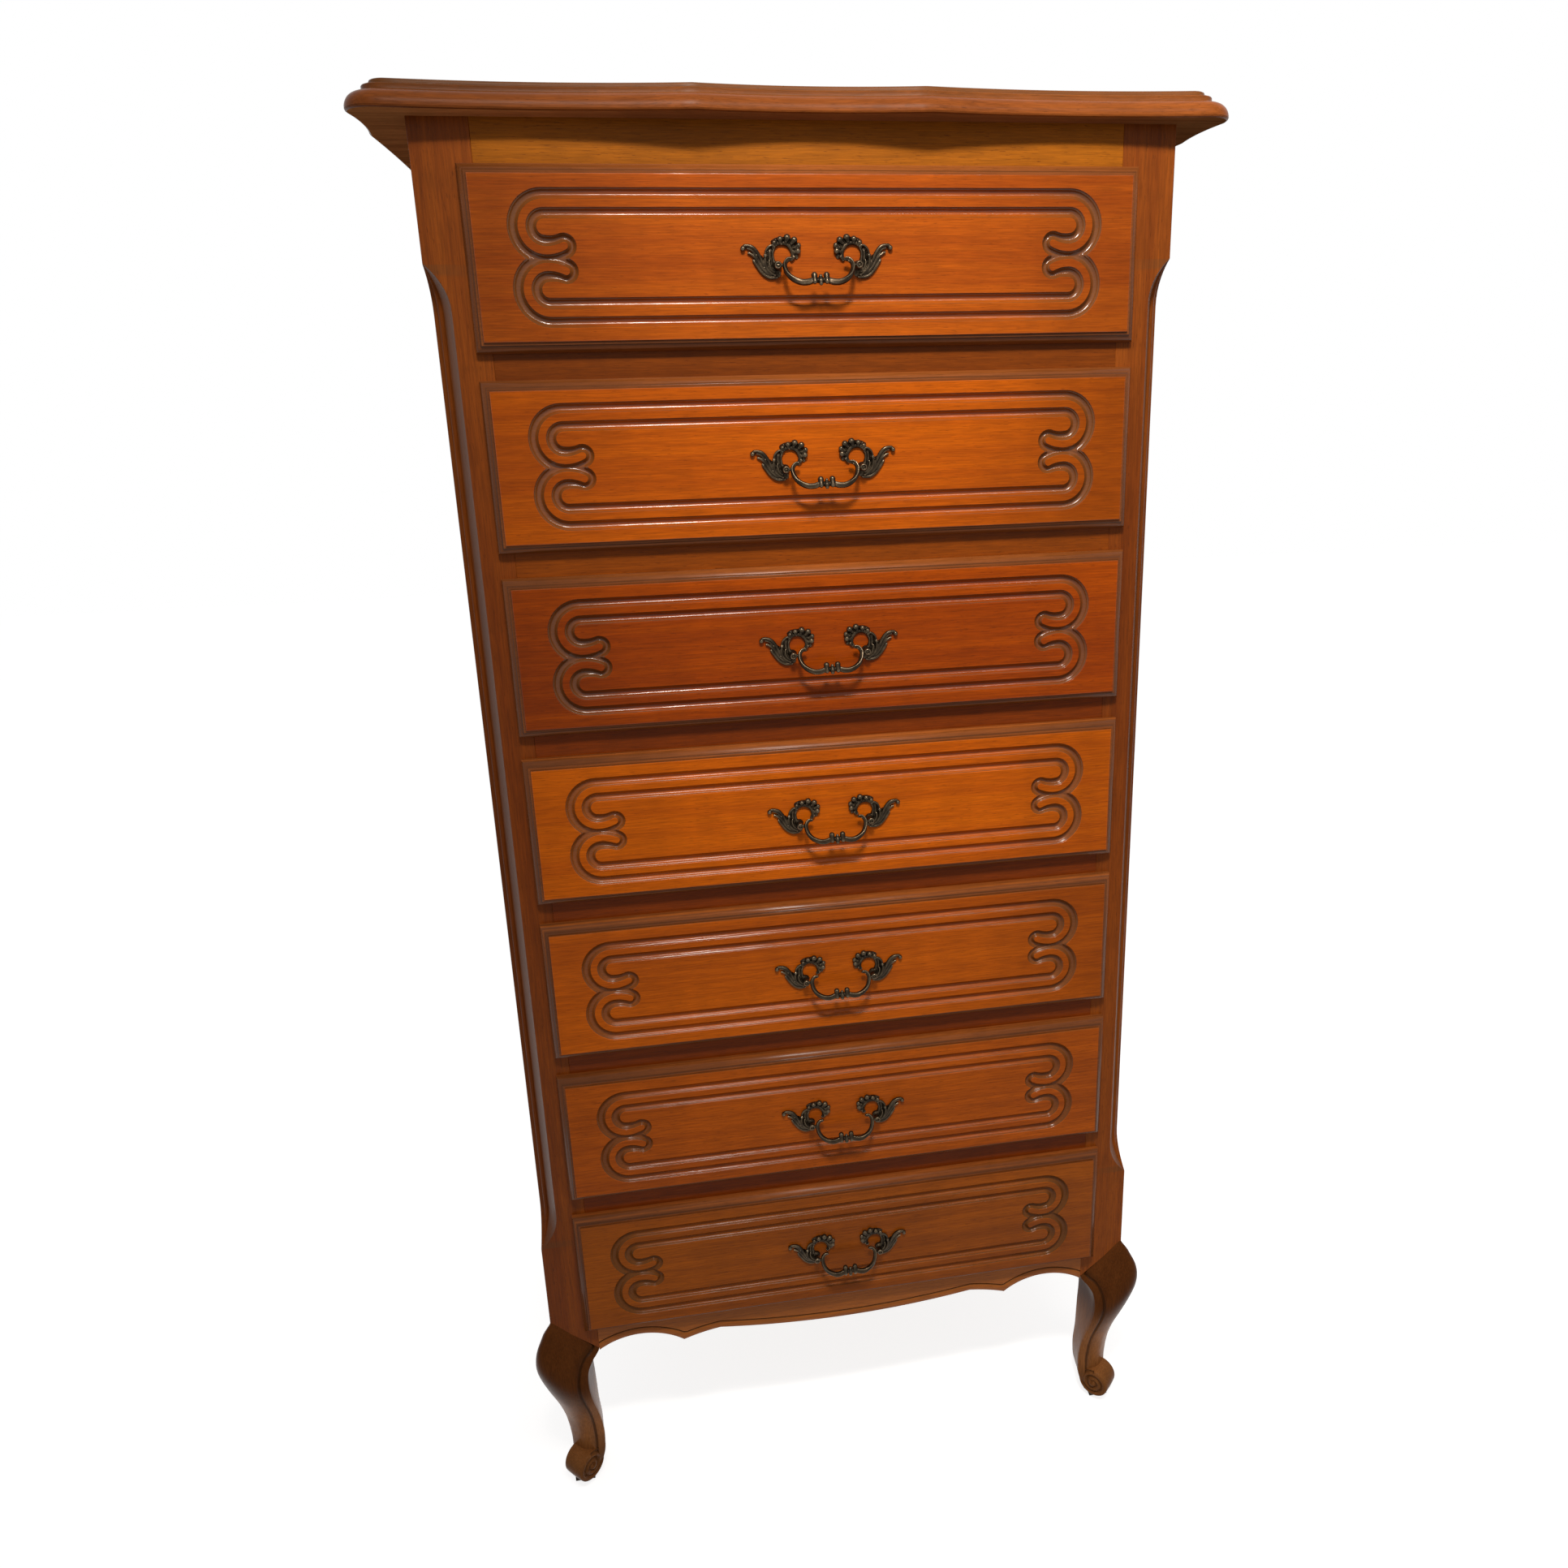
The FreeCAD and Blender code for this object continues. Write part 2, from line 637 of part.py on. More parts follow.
def make_front_apron():
    """Board with a shaped lower edge: two cusps, an arch beside each leg, a slight centre swell."""
    body = new_body("front_apron")
    end = ("half_opening", "leg_rise - apron_end_drop")
    cusp = ("apron_cusp_x", "leg_rise - apron_cusp_drop")
    swell = ("apron_swell_x", "leg_rise - apron_swell_drop")
    end_left, cusp_left, swell_left = [("-(%s)" % u, v) for u, v in (end, cusp, swell)]
    arch_rise = "(apron_end_drop + apron_cusp_drop) / 2 - apron_arch_drop"
    swell_rise = "apron_centre_drop - apron_swell_drop"
    flank_rise = "(apron_cusp_drop - apron_swell_drop) / 8"
    slab(body, "Pad", "XZ", "0", "rail_thickness", [
        ("half_opening", "leg_rise"),
        ("-half_opening", "leg_rise"),
        end_left + (arc_by_rise(end_left, cusp_left, arch_rise), -1),
        cusp_left + (arc_by_rise(cusp_left, swell_left, flank_rise), -1),
        swell_left + (arc_by_rise(swell_left, swell, swell_rise), 1),
        swell + (arc_by_rise(swell, cusp, flank_rise), -1),
        cusp + (arc_by_rise(cusp, end, arch_rise), -1),
        end])
    add_tenons(body, "leg_rise - low_tenon_drop", "0", "low_tenon_length")
    return in_place(body)


def make_side_top_rail():
    body = new_body("side_top_rail")
    low = "carcass_top - side_rail_height"
    block(body, "side_rail_inner", "half_body", "post_depth", "rear_post_front", low, "carcass_top")
    block(body, "panel_inner", "panel_outer", "post_depth - tongue", "rear_post_front + tongue",
          low, "carcass_top")
    block(body, "panel_inner - joint_gap", "panel_outer + joint_gap", "post_depth - tongue",
          "rear_post_front + tongue", low, low + " + groove_depth", "Pocket")
    return in_place(body)


def make_side_apron():
    """Lower side rail with two arches that meet in a cusp."""
    body = new_body("side_apron")
    front = ("post_depth", "leg_rise - apron_end_drop")
    cusp = ("body_depth / 2", "leg_rise - side_cusp_drop")
    rear = ("rear_post_front", "leg_rise - apron_end_drop")
    rise = "(apron_end_drop + side_cusp_drop) / 2 - side_arch_drop"
    slab(body, "Pad", "YZ", "side_rail_inner", "half_body", [
        front + (arc_by_rise(front, cusp, rise), -1),
        cusp + (arc_by_rise(cusp, rear, rise), -1),
        rear,
        ("rear_post_front", "side_apron_top"),
        ("post_depth", "side_apron_top")])
    block(body, "panel_inner", "panel_outer", "post_depth - tongue", "rear_post_front + tongue",
          "leg_rise", "side_apron_top")
    block(body, "panel_inner - joint_gap", "panel_outer + joint_gap", "post_depth - tongue",
          "rear_post_front + tongue", "side_apron_top - groove_depth", "side_apron_top", "Pocket")
    return in_place(body)


def make_side_panel():
    body = new_body("side_panel_right")
    block(body, "panel_inner", "panel_outer", "post_depth - tongue", "rear_post_front + tongue",
          "side_apron_top - tongue", "carcass_top - side_rail_height + tongue")
    return in_place(body)


def make_rear_rail(label, z_high, tenon_drop, tenon_length):
    body = new_body(label)
    block(body, "-half_opening", "half_opening", "rear_rail_front", "rear_face",
          z_high + " - rear_rail_height", z_high)
    add_tenons(body, "%s - %s" % (z_high, tenon_drop), "rear_rail_front", tenon_length)
    return in_place(body)


def make_back_panel():
    body = new_body("back_panel")
    edge = "half_opening + back_rebate - joint_gap"
    block(body, "-(%s)" % edge, edge, "rear_face", "body_depth",
          "leg_rise - back_foot_drop", "carcass_top")
    return in_place(body)


def make_runner(label, lift):
    """Runner bar under a drawer side, with a guide strip between the posts."""
    body = new_body(label)
    block(body, "half_opening - runner_width", "half_opening", "rail_thickness", "rear_rail_front",
          "-runner_height", "0")
    block(body, "half_opening", "half_opening + guide_width", "post_depth", "rear_post_front",
          "-runner_height", "guide_height")
    return in_place(body, lift)


# ---------------------------------------------------------------- drawers

def tail_centre(number):
    return "runner_gap + drawer_side_height * (%d - 0.5) / tail_count" % number


def tail_corners(number, gap):
    """One dovetail in the YZ plane, from its root on the front's back face and round its tip."""
    centre = tail_centre(number)
    tip_y = "front_inside - tail_length - (%s)" % gap
    return [
        ("front_inside", "%s - tail_root / 2 - (%s)" % (centre, gap)),
        (tip_y, "%s - tail_tip / 2 - (%s)" % (centre, gap)),
        (tip_y, "%s + tail_tip / 2 + (%s)" % (centre, gap)),
        ("front_inside", "%s + tail_root / 2 + (%s)" % (centre, gap))]


def make_drawer_front(label, lift):
    body = new_body(label)
    slab(body, "Pad", "XZ", "lip_face", "-front_seat_gap",
         rectangle("-half_front", "half_front", "-lap_end", "opening_height + lap_end"))
    lip_face = value("lip_face")
    round_edges(body, "lip_round", lambda edge: edge.BoundBox.YMax < lip_face + 0.01)
    slab(body, "Pad", "XZ", "front_face", "lip_face",
         rectangle("-half_field", "half_field",
                   "lip_margin - lap_end", "opening_height + lap_end - lip_margin"))
    slab(body, "Pad", "XZ", "-front_seat_gap", "front_inside",
         rectangle("-half_box", "half_box", "plug_gap_end", "opening_height - plug_gap_end"))
    slab(body, "Pocket", "XZ", "front_inside - drawer_groove - joint_gap", "front_inside",
         rectangle("-half_box_inside", "half_box_inside", "box_floor - joint_gap",
                   "box_floor_top + joint_gap"))
    for number in range(1, int(value("tail_count")) + 1):
        corners = tail_corners(number, "joint_gap")
        slab(body, "Pocket", "YZ", "half_box_inside - joint_gap", "half_box", corners)
        slab(body, "Pocket", "YZ", "-half_box", "-half_box_inside + joint_gap", corners)
    for side in ("-", ""):
        slab(body, "Pocket", "XZ", "front_face", "front_inside",
             circle=(side + "half_pull", "pivot_height", "stud_radius + stud_hole_gap"))
    return in_place(body, lift)


def make_drawer_side(label, lift):
    body = new_body(label)
    corners = [("box_rear", "runner_gap"), ("box_rear", "box_side_top"), ("front_inside", "box_side_top")]
    for number in range(int(value("tail_count")), 0, -1):
        corners += reversed(tail_corners(number, "0"))
    corners.append(("front_inside", "runner_gap"))
    slab(body, "Pad", "YZ", "half_box_inside", "half_box", corners)
    block(body, "half_box_inside", "half_box_inside + drawer_groove + joint_gap",
          "front_inside", "box_rear", "box_floor - joint_gap", "box_floor_top + joint_gap", "Pocket")
    block(body, "half_box_inside", "half_box_inside + drawer_groove + joint_gap",
          "box_back_front - joint_gap", "box_back_rear + joint_gap",
          "box_floor_top", "box_side_top", "Pocket")
    return in_place(body, lift)


def make_drawer_back(label, lift):
    body = new_body(label)
    edge = "half_box_inside + drawer_groove"
    block(body, "-(%s)" % edge, edge, "box_back_front", "box_back_rear",
          "box_floor_top + joint_gap", "box_side_top")
    return in_place(body, lift)


def make_drawer_bottom(label, lift):
    """Thin board in the grooves of the front and sides; it passes under the back."""
    body = new_body(label)
    edge = "half_box_inside + drawer_groove"
    block(body, "-(%s)" % edge, edge, "front_inside", "box_rear", "box_floor", "box_floor_top")
    block(body, "-half_box_inside", "half_box_inside", "front_inside - drawer_groove", "front_inside",
          "box_floor", "box_floor_top")
    return in_place(body, lift)


# ---------------------------------------------------------------- pulls

# Outline of the right plate from the pivot, across and up: a leaf that runs out to its tip,
# and a lobed shell that curls back in over the pivot.
PLATE_OUTLINE = (
    (-3.5, -4.0), (0.0, -6.0), (6.0, -5.5), (12.0, -3.5), (16.0, -1.0), (17.5, 3.0), (21.0, 6.5),
    (26.0, 8.0), (28.2, 14.0), (22.0, 13.0), (17.0, 12.0), (12.0, 12.5), (9.5, 17.5), (4.0, 21.0),
    (-3.0, 22.5), (-9.0, 21.0), (-13.0, 17.0), (-12.5, 12.5), (-8.0, 11.5), (-5.0, 7.0),
)
RING_ABOVE_PIVOT = 9.0
RING_RADIUS = 3.0


def make_plate(label, lift):
    body = new_body(label)
    outline = [("half_pull + %g" % u, "pivot_height + %g" % v) for u, v in PLATE_OUTLINE]
    slab(body, "Pad", "XZ", "plate_face", "front_face", outline)
    slab(body, "Pocket", "XZ", "plate_face", "front_face",
         circle=("half_pull", "pivot_height + %g" % RING_ABOVE_PIVOT, RING_RADIUS))
    slab(body, "Pocket", "XZ", "plate_face", "front_face",
         circle=("half_pull", "pivot_height", "stud_radius + joint_gap"))
    return in_place(body, lift)


def make_pull_post(label, lift):
    """Knob in front of the plate with a cross hole for the bail, on a stud through the drawer front."""
    body = new_body(label)
    slab(body, "Pad", "XZ", "pivot_y - knob_radius", "plate_face",
         circle=("half_pull", "pivot_height", "knob_radius"))
    slab(body, "Pad", "XZ", "plate_face", "front_inside + stud_tail",
         circle=("half_pull", "pivot_height", "stud_radius"))
    slab(body, "Pocket", "YZ", "half_pull - 2 * knob_radius", "half_pull + 2 * knob_radius",
         circle=("pivot_y", "pivot_height", "eye_radius"))
    return in_place(body, lift)


def make_nut(label, lift):
    body = new_body(label)
    corner_radius = "nut_flats / sqrt(3)"
    outline = [("half_pull + %s * cos(%d)" % (corner_radius, angle),
                "pivot_height + %s * sin(%d)" % (corner_radius, angle)) for angle in range(0, 360, 60)]
    slab(body, "Pad", "XZ", "front_inside", "front_inside + nut_thickness", outline)
    slab(body, "Pocket", "XZ", "front_inside", "front_inside + nut_thickness",
         circle=("half_pull", "pivot_height", "stud_radius + joint_gap"))
    return in_place(body, lift)


def make_pull(label, lift):
    members = []
    for piece, maker in (("plate", make_plate), ("post", make_pull_post), ("nut", make_nut)):
        right = maker("%s_%s_right" % (label, piece), lift)
        members += [right, mirrored("%s_%s_left" % (label, piece), right)]
    return grouped(label, members)


def bail_path():
    """Half-round-cornered U in the XZ plane, as (corner, corner, True where an arc joins them)."""
    half, inner = "bail_half_width", "(bail_half_width - bail_corner)"
    shoulder = "bail_corner - bail_drop"
    stations = [(half, "bail_wire"), (half, shoulder), (inner, "-bail_drop"),
                ("-" + inner, "-bail_drop"), ("-" + half, shoulder), ("-" + half, "bail_wire")]
    rounded = (False, True, False, True, False)
    return [(stations[i], stations[i + 1], rounded[i]) for i in range(len(rounded))]


def draw_bail_path(sketch):
    previous_end = None
    for index, (start, end, is_arc) in enumerate(bail_path()):
        radius = value("bail_corner") if is_arc else None
        tail, head = (2, 1) if is_arc else (1, 2)
        ends = [[value(formula) for formula in corner] for corner in (start, end)]
        sketch.addGeometry(edge_geometry(ends[0], ends[1], radius, -1), False)
        if is_arc:
            link = Sketcher.Constraint("Radius", index, radius)
            bind(sketch, "Constraints[%d]" % sketch.addConstraint(link), "bail_corner")
        if previous_end is not None:
            sketch.addConstraint(Sketcher.Constraint("Coincident", index - 1, previous_end, index, tail))
        located = [(tail, start)]
        if index == len(bail_path()) - 1:
            located.append((head, end))
        for position, corner in located:
            for kind, formula in zip(("DistanceX", "DistanceY"), corner):
                link = Sketcher.Constraint(kind, -1, 1, index, position, value(formula))
                bind(sketch, "Constraints[%d]" % sketch.addConstraint(link), formula)
        previous_end = head


def make_bail(label, lift):
    """Swinging handle: a wire in a shallow U with a pin at each end and a knop in the middle.

    Its own frame has the pivot axis along X; it hangs down and leans forward on its stops.
    """
    body = new_body(label)
    path = new_sketch(body, "XZ")
    draw_bail_path(path)
    section = new_sketch(body, "XY", "bail_wire")
    draw_circle(section, "bail_half_width", "0", "bail_wire")
    pipe = body.newObject("PartDesign::AdditivePipe", body.Name + "_wire")
    pipe.Profile = section
    pipe.Spine = path
    pin_root = "bail_half_width - bail_wire / 2"
    pin_tip = "half_pull + knob_radius + bail_wire"
    slab(body, "Pad", "YZ", pin_root, pin_tip, circle=("0", "0", "pin_radius"))
    slab(body, "Pad", "YZ", "-(%s)" % pin_tip, "-(%s)" % pin_root, circle=("0", "0", "pin_radius"))
    slab(body, "Pad", "YZ", "-bail_knop", "bail_knop", circle=("0", "-bail_drop", "bail_knop"))
    lean = FreeCAD.Rotation(Vector(1, 0, 0), -value("bail_lean"))
    body.Placement = FreeCAD.Placement(Vector(0, 0, 0), lean)
    bind(body, "Placement.Base.y", "centre_shift + pivot_y")
    bind(body, "Placement.Base.z", "(%s) + pivot_height" % lift)
    return body


# ---------------------------------------------------------------- the whole object

def make_carcass():
    front_post, rear_post = make_front_post(), make_rear_post()
    front_leg, rear_leg = make_front_leg(), make_rear_leg()
    side_panel = make_side_panel()
    side_members = [make_side_top_rail(), make_side_apron()]
    side_members += [mirrored(piece.Label + "_left", piece) for piece in list(side_members)]
    glides = [make_glide("glide_front", "sole_side / 2 - sole_swell"),
              make_glide("glide_rear", "body_depth - sole_rear_depth / 2")]
    glides += [mirrored(piece.Label + "_left", piece) for piece in list(glides)]
    rear_rails = [
        make_rear_rail("rear_rail_top", "carcass_top", "rear_rail_height / 2", "tenon_length"),
        make_rear_rail("rear_rail_bottom", "leg_rise", "low_tenon_drop", "low_tenon_length")]
    runners = []
    for row in range(int(value("drawer_count"))):
        runner = make_runner("runner_%d" % row, "leg_rise + %d * row_pitch" % row)
        runners += [runner, mirrored("runner_%d_left" % row, runner)]
    return [
        make_top(),
        front_post, mirrored("post_front_left", front_post),
        rear_post, mirrored("post_rear_left", rear_post),
        front_leg, mirrored("leg_front_left", front_leg),
        rear_leg, mirrored("leg_rear_left", rear_leg),
        grouped("foot_glides", glides),
        side_panel, mirrored("side_panel_left", side_panel),
        make_back_panel(),
        make_front_rails(),
        make_front_apron(),
        grouped("side_rails", side_members),
        grouped("rear_rails", rear_rails),
        grouped("drawer_runners", runners),
    ]


def make_drawer(number):
    """Drawers are numbered from the top."""
    name = "drawer_%d" % number
    lift = "leg_rise + (drawer_count - %d) * row_pitch" % number
    side = make_drawer_side(name + "_side_right", lift)
    return [
        make_drawer_front(name + "_front", lift),
        grouped(name + "_sides", [side, mirrored(name + "_side_left", side)]),
        make_drawer_back(name + "_back", lift),
        make_drawer_bottom(name + "_bottom", lift),
        make_pull(name + "_pull", lift),
        make_bail(name + "_bail", lift),
    ]


def check_document():
    """No object may have failed, and every pocket has to take something off its body."""
    for thing in doc.Objects:
        if "Invalid" in thing.State or "Error" in thing.State:
            raise RuntimeError("%s failed: %s" % (thing.Label, thing.State))
        if thing.TypeId == "PartDesign::Pocket":
            if not thing.Shape.Volume < thing.BaseFeature.Shape.Volume:
                raise RuntimeError("%s takes nothing off" % thing.Label)


def export(sub_parts):
    os.makedirs("parts", exist_ok=True)
    for sub_part in sub_parts:
        shape = sub_part.Shape
        if shape.isNull() or not shape.isValid():
            raise RuntimeError("the shape of %s is not valid" % sub_part.Label)
        shape.exportStep("parts/%s.step" % sub_part.Label)


fill_sheet()
nodes = make_carcass()
for drawer_number in range(1, int(value("drawer_count")) + 1):
    nodes += make_drawer(drawer_number)
doc.recompute()
check_document()
export(nodes)
print("%d nodes, %d solids" % (len(nodes), sum(len(node.Shape.Solids) for node in nodes)))
print("height %.1f, shift in y %.2f" % (value("total_height"), value("centre_shift")))
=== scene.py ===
"""Looks of the semainier: cherry finish, carved drawer fronts, canted posts, cabriole legs, bronze pulls.

Metres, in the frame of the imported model: +Z up, the front faces -Y. Real sizes are written in
millimetres and turned into metres by the helpers.
"""
import math
from contextlib import contextmanager

import bmesh
import bpy
from mathutils import Matrix, Vector
from mathutils.geometry import delaunay_2d_cdt, interpolate_bezier
from mathutils.kdtree import KDTree


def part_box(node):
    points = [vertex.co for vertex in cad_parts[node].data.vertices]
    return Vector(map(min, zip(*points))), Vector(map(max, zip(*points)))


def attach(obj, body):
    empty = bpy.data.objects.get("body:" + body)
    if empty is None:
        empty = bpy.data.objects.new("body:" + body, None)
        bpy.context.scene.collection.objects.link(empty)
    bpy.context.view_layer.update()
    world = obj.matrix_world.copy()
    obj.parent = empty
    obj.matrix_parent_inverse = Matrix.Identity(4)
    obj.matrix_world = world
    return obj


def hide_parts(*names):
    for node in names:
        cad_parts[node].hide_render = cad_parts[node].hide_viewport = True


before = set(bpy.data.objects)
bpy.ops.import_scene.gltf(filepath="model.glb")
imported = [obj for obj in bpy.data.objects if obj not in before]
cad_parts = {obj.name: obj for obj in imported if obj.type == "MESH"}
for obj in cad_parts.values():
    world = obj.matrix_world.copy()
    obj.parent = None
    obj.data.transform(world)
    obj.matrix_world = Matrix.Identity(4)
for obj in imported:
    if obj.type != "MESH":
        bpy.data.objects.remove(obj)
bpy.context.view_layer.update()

MM = 0.001
DRAWERS = range(1, 8)
SIDES = {"right": 1, "left": -1}

# ---------------------------------------------------------------- places read from the frame

POST_LOW, POST_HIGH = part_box("post_front_right")
HALF_BODY = POST_HIGH.x / MM
HALF_OPENING = POST_LOW.x / MM
CARCASS_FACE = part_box("front_rails")[0].y / MM
CARCASS_TOP = POST_HIGH.z / MM
SEAM_LOW = POST_LOW.z / MM
POST_DEPTH = (POST_HIGH.y - POST_LOW.y) / MM
BODY_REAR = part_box("back_panel")[1].y / MM
LEG_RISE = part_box("front_apron")[1].z / MM
# How far a cut stays off the plane that two meshes would otherwise share.
CUT_GAP = 0.02


# ---------------------------------------------------------------- mesh helpers

def tune(thing, **settings):
    """Set several attributes of a thing and give it back."""
    for key, setting in settings.items():
        setattr(thing, key, setting)
    return thing


def stand(name, data):
    """A new object in the scene."""
    thing = bpy.data.objects.new(name, data)
    bpy.context.scene.collection.objects.link(thing)
    return thing


def mesh_of(name, vertices, faces):
    """A mesh from vertices in millimetres."""
    mesh = bpy.data.meshes.new(name)
    mesh.from_pydata([tuple(c * MM for c in v) for v in vertices], [], faces)
    return mesh


@contextmanager
def worked(mesh, weld=None):
    """A mesh opened for work on its parts, welded first if asked, and written back afterwards."""
    work = bmesh.new()
    work.from_mesh(mesh)
    if weld:
        bmesh.ops.remove_doubles(work, verts=work.verts, dist=weld)
    yield work
    work.to_mesh(mesh)
    work.free()


def merged(name, meshes):
    work = bmesh.new()
    for mesh in meshes:
        work.from_mesh(mesh)
    whole = bpy.data.meshes.new(name)
    work.to_mesh(whole)
    work.free()
    return whole


def cut_flat(work, plane_y, keep_front):
    """Cut an opened mesh at a plane parallel to the front and close the cut."""
    geometry = work.verts[:] + work.edges[:] + work.faces[:]
    cut = bmesh.ops.bisect_plane(work, geom=geometry, dist=1e-7, plane_co=(0, plane_y * MM, 0),
                                 plane_no=(0, 1, 0), clear_outer=keep_front, clear_inner=not keep_front)
    bmesh.ops.holes_fill(work, edges=[e for e in cut["geom_cut"] if isinstance(e, bmesh.types.BMEdge)])


def behind(node, plane_y, drop=0.0):
    """What a node has behind a plane parallel to the front, moved down by drop."""
    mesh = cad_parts[node].data.copy()
    with worked(mesh, weld=1e-6) as work:
        bmesh.ops.translate(work, verts=work.verts, vec=(0, 0, -drop * MM))
        cut_flat(work, plane_y, keep_front=False)
    return mesh


def settle(mesh, material, sharp):
    """Weld a mesh, turn its faces outward, and make it smooth but for edges sharper than an angle."""
    with worked(mesh, weld=2e-6) as work:
        bmesh.ops.dissolve_degenerate(work, edges=work.edges, dist=1e-6)
        bmesh.ops.recalc_face_normals(work, faces=work.faces)
    mesh.shade_smooth()
    mesh.set_sharp_from_angle(angle=math.radians(sharp))
    mesh.materials.clear()
    mesh.materials.append(material)


def add(name, mesh, body, replaces, place=(0, 0, 0)):
    """Stand a mesh in the scene and tie it to the body that it moves with."""
    piece = stand(name, mesh)
    piece.location = place
    bpy.context.view_layer.update()
    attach(piece, body)
    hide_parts(*replaces)
    return piece


def finished(name, mesh, material, body, replaces, sharp):
    settle(mesh, material, sharp)
    return add(name, mesh, body, replaces)


def shell_object(vertices, faces, weld):
    """An object to put modifiers on: a closed shell, its faces turned outward."""
    mesh = mesh_of("shell", vertices, faces)
    with worked(mesh, weld) as work:
        bmesh.ops.recalc_face_normals(work, faces=work.faces)
    return stand("shell", mesh)


def modified_mesh(thing):
    """The mesh that an object's modifiers make; the object goes."""
    bpy.context.view_layer.update()
    evaluated = thing.evaluated_get(bpy.context.evaluated_depsgraph_get())
    mesh = bpy.data.meshes.new_from_object(evaluated)
    bpy.data.objects.remove(thing)
    return mesh


def bridge(rings, closed=True):
    """Faces between rings of equally many points, numbered ring after ring."""
    count = len(rings[0])
    faces = []
    for row in range(len(rings) - 1):
        for i in range(count if closed else count - 1):
            j = (i + 1) % count
            faces.append((row * count + i, row * count + j,
                          (row + 1) * count + j, (row + 1) * count + i))
    return faces


def lofted(rings, cap_last=True):
    """Vertices and faces of a solid through closed rings; its last end may stay open."""
    vertices = [point for ring in rings for point in ring]
    count = len(rings[0])
    faces = bridge(rings) + [tuple(range(count))]
    if cap_last:
        faces.append(tuple(range(len(vertices) - count, len(vertices))))
    return vertices, faces


def join(parts):
    """One vertex and face list from several."""
    vertices, faces = [], []
    for more_vertices, more_faces in parts:
        start = len(vertices)
        vertices += more_vertices
        faces += [tuple(start + i for i in face) for face in more_faces]
    return vertices, faces


def paint(mesh, name, amount):
    """A float for each vertex, worked out from its place in millimetres."""
    layer = mesh.attributes.new(name, "FLOAT", "POINT")
    layer.data.foreach_set("value", [amount(v.co / MM) for v in mesh.vertices])


def direction_at(angle):
    return Vector((math.cos(angle), math.sin(angle)))


def arc_points(start, end, rise, steps):
    """Points from start up to end, on an arc that stands to the right by rise, or to the left below 0."""
    start, end = Vector(start), Vector(end)
    if abs(rise) < 1e-9:
        return [start]
    chord = end - start
    right = Vector((chord.y, -chord.x)).normalized()
    radius = chord.length_squared / (8 * abs(rise)) + abs(rise) / 2
    centre = (start + end) / 2 - right * math.copysign(radius - abs(rise), rise)
    first = math.atan2(start.y - centre.y, start.x - centre.x)
    turn = 2 * math.asin(min(1, chord.length / (2 * radius)))
    if abs(rise) > radius:
        turn = 2 * math.pi - turn
    sense = 1 if rise > 0 else -1
    return [centre + radius * direction_at(first + sense * turn * i / steps) for i in range(steps)]


# ---------------------------------------------------------------- materials

SEED_SPREAD = (1.37, 2.11, 0.73)


class Graph:
    """Short names for the nodes that a material or a world uses."""

    def __init__(self, owner):
        self.owner = owner
        owner.use_nodes = True
        self.tree = owner.node_tree

    def feed(self, node, sockets):
        """Set sockets of a node to constants, or link them to the outputs of others."""
        for key, source in sockets.items():
            socket = node.inputs[key]
            if isinstance(source, bpy.types.NodeSocket):
                self.tree.links.new(source, socket)
            elif socket.type == "RGBA":
                socket.default_value = (*source[:3], 1.0)
            else:
                socket.default_value = source

    def node(self, kind, sockets=(), **settings):
        made = tune(self.tree.nodes.new("ShaderNode" + kind), **settings)
        self.feed(made, dict(sockets))
        return made

    def math(self, operation, first, second=0.0, clamp=False):
        return self.node("Math", {0: first, 1: second}, operation=operation, use_clamp=clamp).outputs[0]

    def noise(self, shift, scale, detail, distortion=0.0, roughness=0.5):
        """Noise that stays with the object, its scale per metre along each axis."""
        own = self.node("TexCoord").outputs["Object"]
        place = self.node("Mapping", {"Vector": own, "Location": shift, "Scale": scale}).outputs[0]
        sockets = {"Vector": place, "Scale": 1.0, "Detail": detail, "Roughness": roughness,
                   "Distortion": distortion}
        return self.node("TexNoise", sockets).outputs["Fac"]

    def grain(self, axis, seed, along, across, detail=2.0, distortion=0.0, roughness=0.5):
        """Noise drawn out along the grain of a board."""
        scale = [along if name == axis else across for name in "xyz"]
        return self.noise([seed * spread for spread in SEED_SPREAD], scale, detail, distortion, roughness)

    def ramp(self, source, low, high, to_low=0.0, to_high=1.0):
        return self.node("MapRange", {"Value": source, "From Min": low, "From Max": high, "To Min": to_low,
                                      "To Max": to_high}, interpolation_type="SMOOTHSTEP").outputs[0]

    def mix(self, amount, first, second, blend="MIX"):
        made = self.node("Mix", {}, data_type="RGBA", blend_type=blend)
        self.feed(made, {"Factor": amount, "A": first, "B": second})
        return made.outputs["Result"]

    def tint(self, colour, tone):
        return self.mix(1.0, colour, tone, "MULTIPLY")

    def axis_value(self, axis):
        """A place along an axis, in metres."""
        own = self.node("TexCoord").outputs["Object"]
        return self.node("SeparateXYZ", {0: own}).outputs[axis]

    def bump(self, height, strength, distance):
        sockets = {"Strength": strength, "Distance": distance, "Height": height}
        return self.node("Bump", sockets).outputs["Normal"]

    def seen_directly(self):
        """1 for rays from the camera and for mirror images and views through glass."""
        path = self.node("LightPath")
        seen = path.outputs["Is Camera Ray"]
        for name in ("Is Glossy Ray", "Is Transmission Ray"):
            seen = self.math("MAXIMUM", seen, path.outputs[name])
        return seen

    def surface(self, sockets):
        """The material, its shader set."""
        self.feed(self.tree.nodes["Principled BSDF"], sockets)
        return self.owner


LACQUER = 0.1
CARVED_LACQUER = (0.28, 0.28, 0.24, 0.2, 0.15, 0.11, 0.08)
# Dark colour mixed into the wood where the mesh is marked: real staining in places, painted shade in others.
PATINA_AND_SHADE = (0.10, 0.050, 0.016)


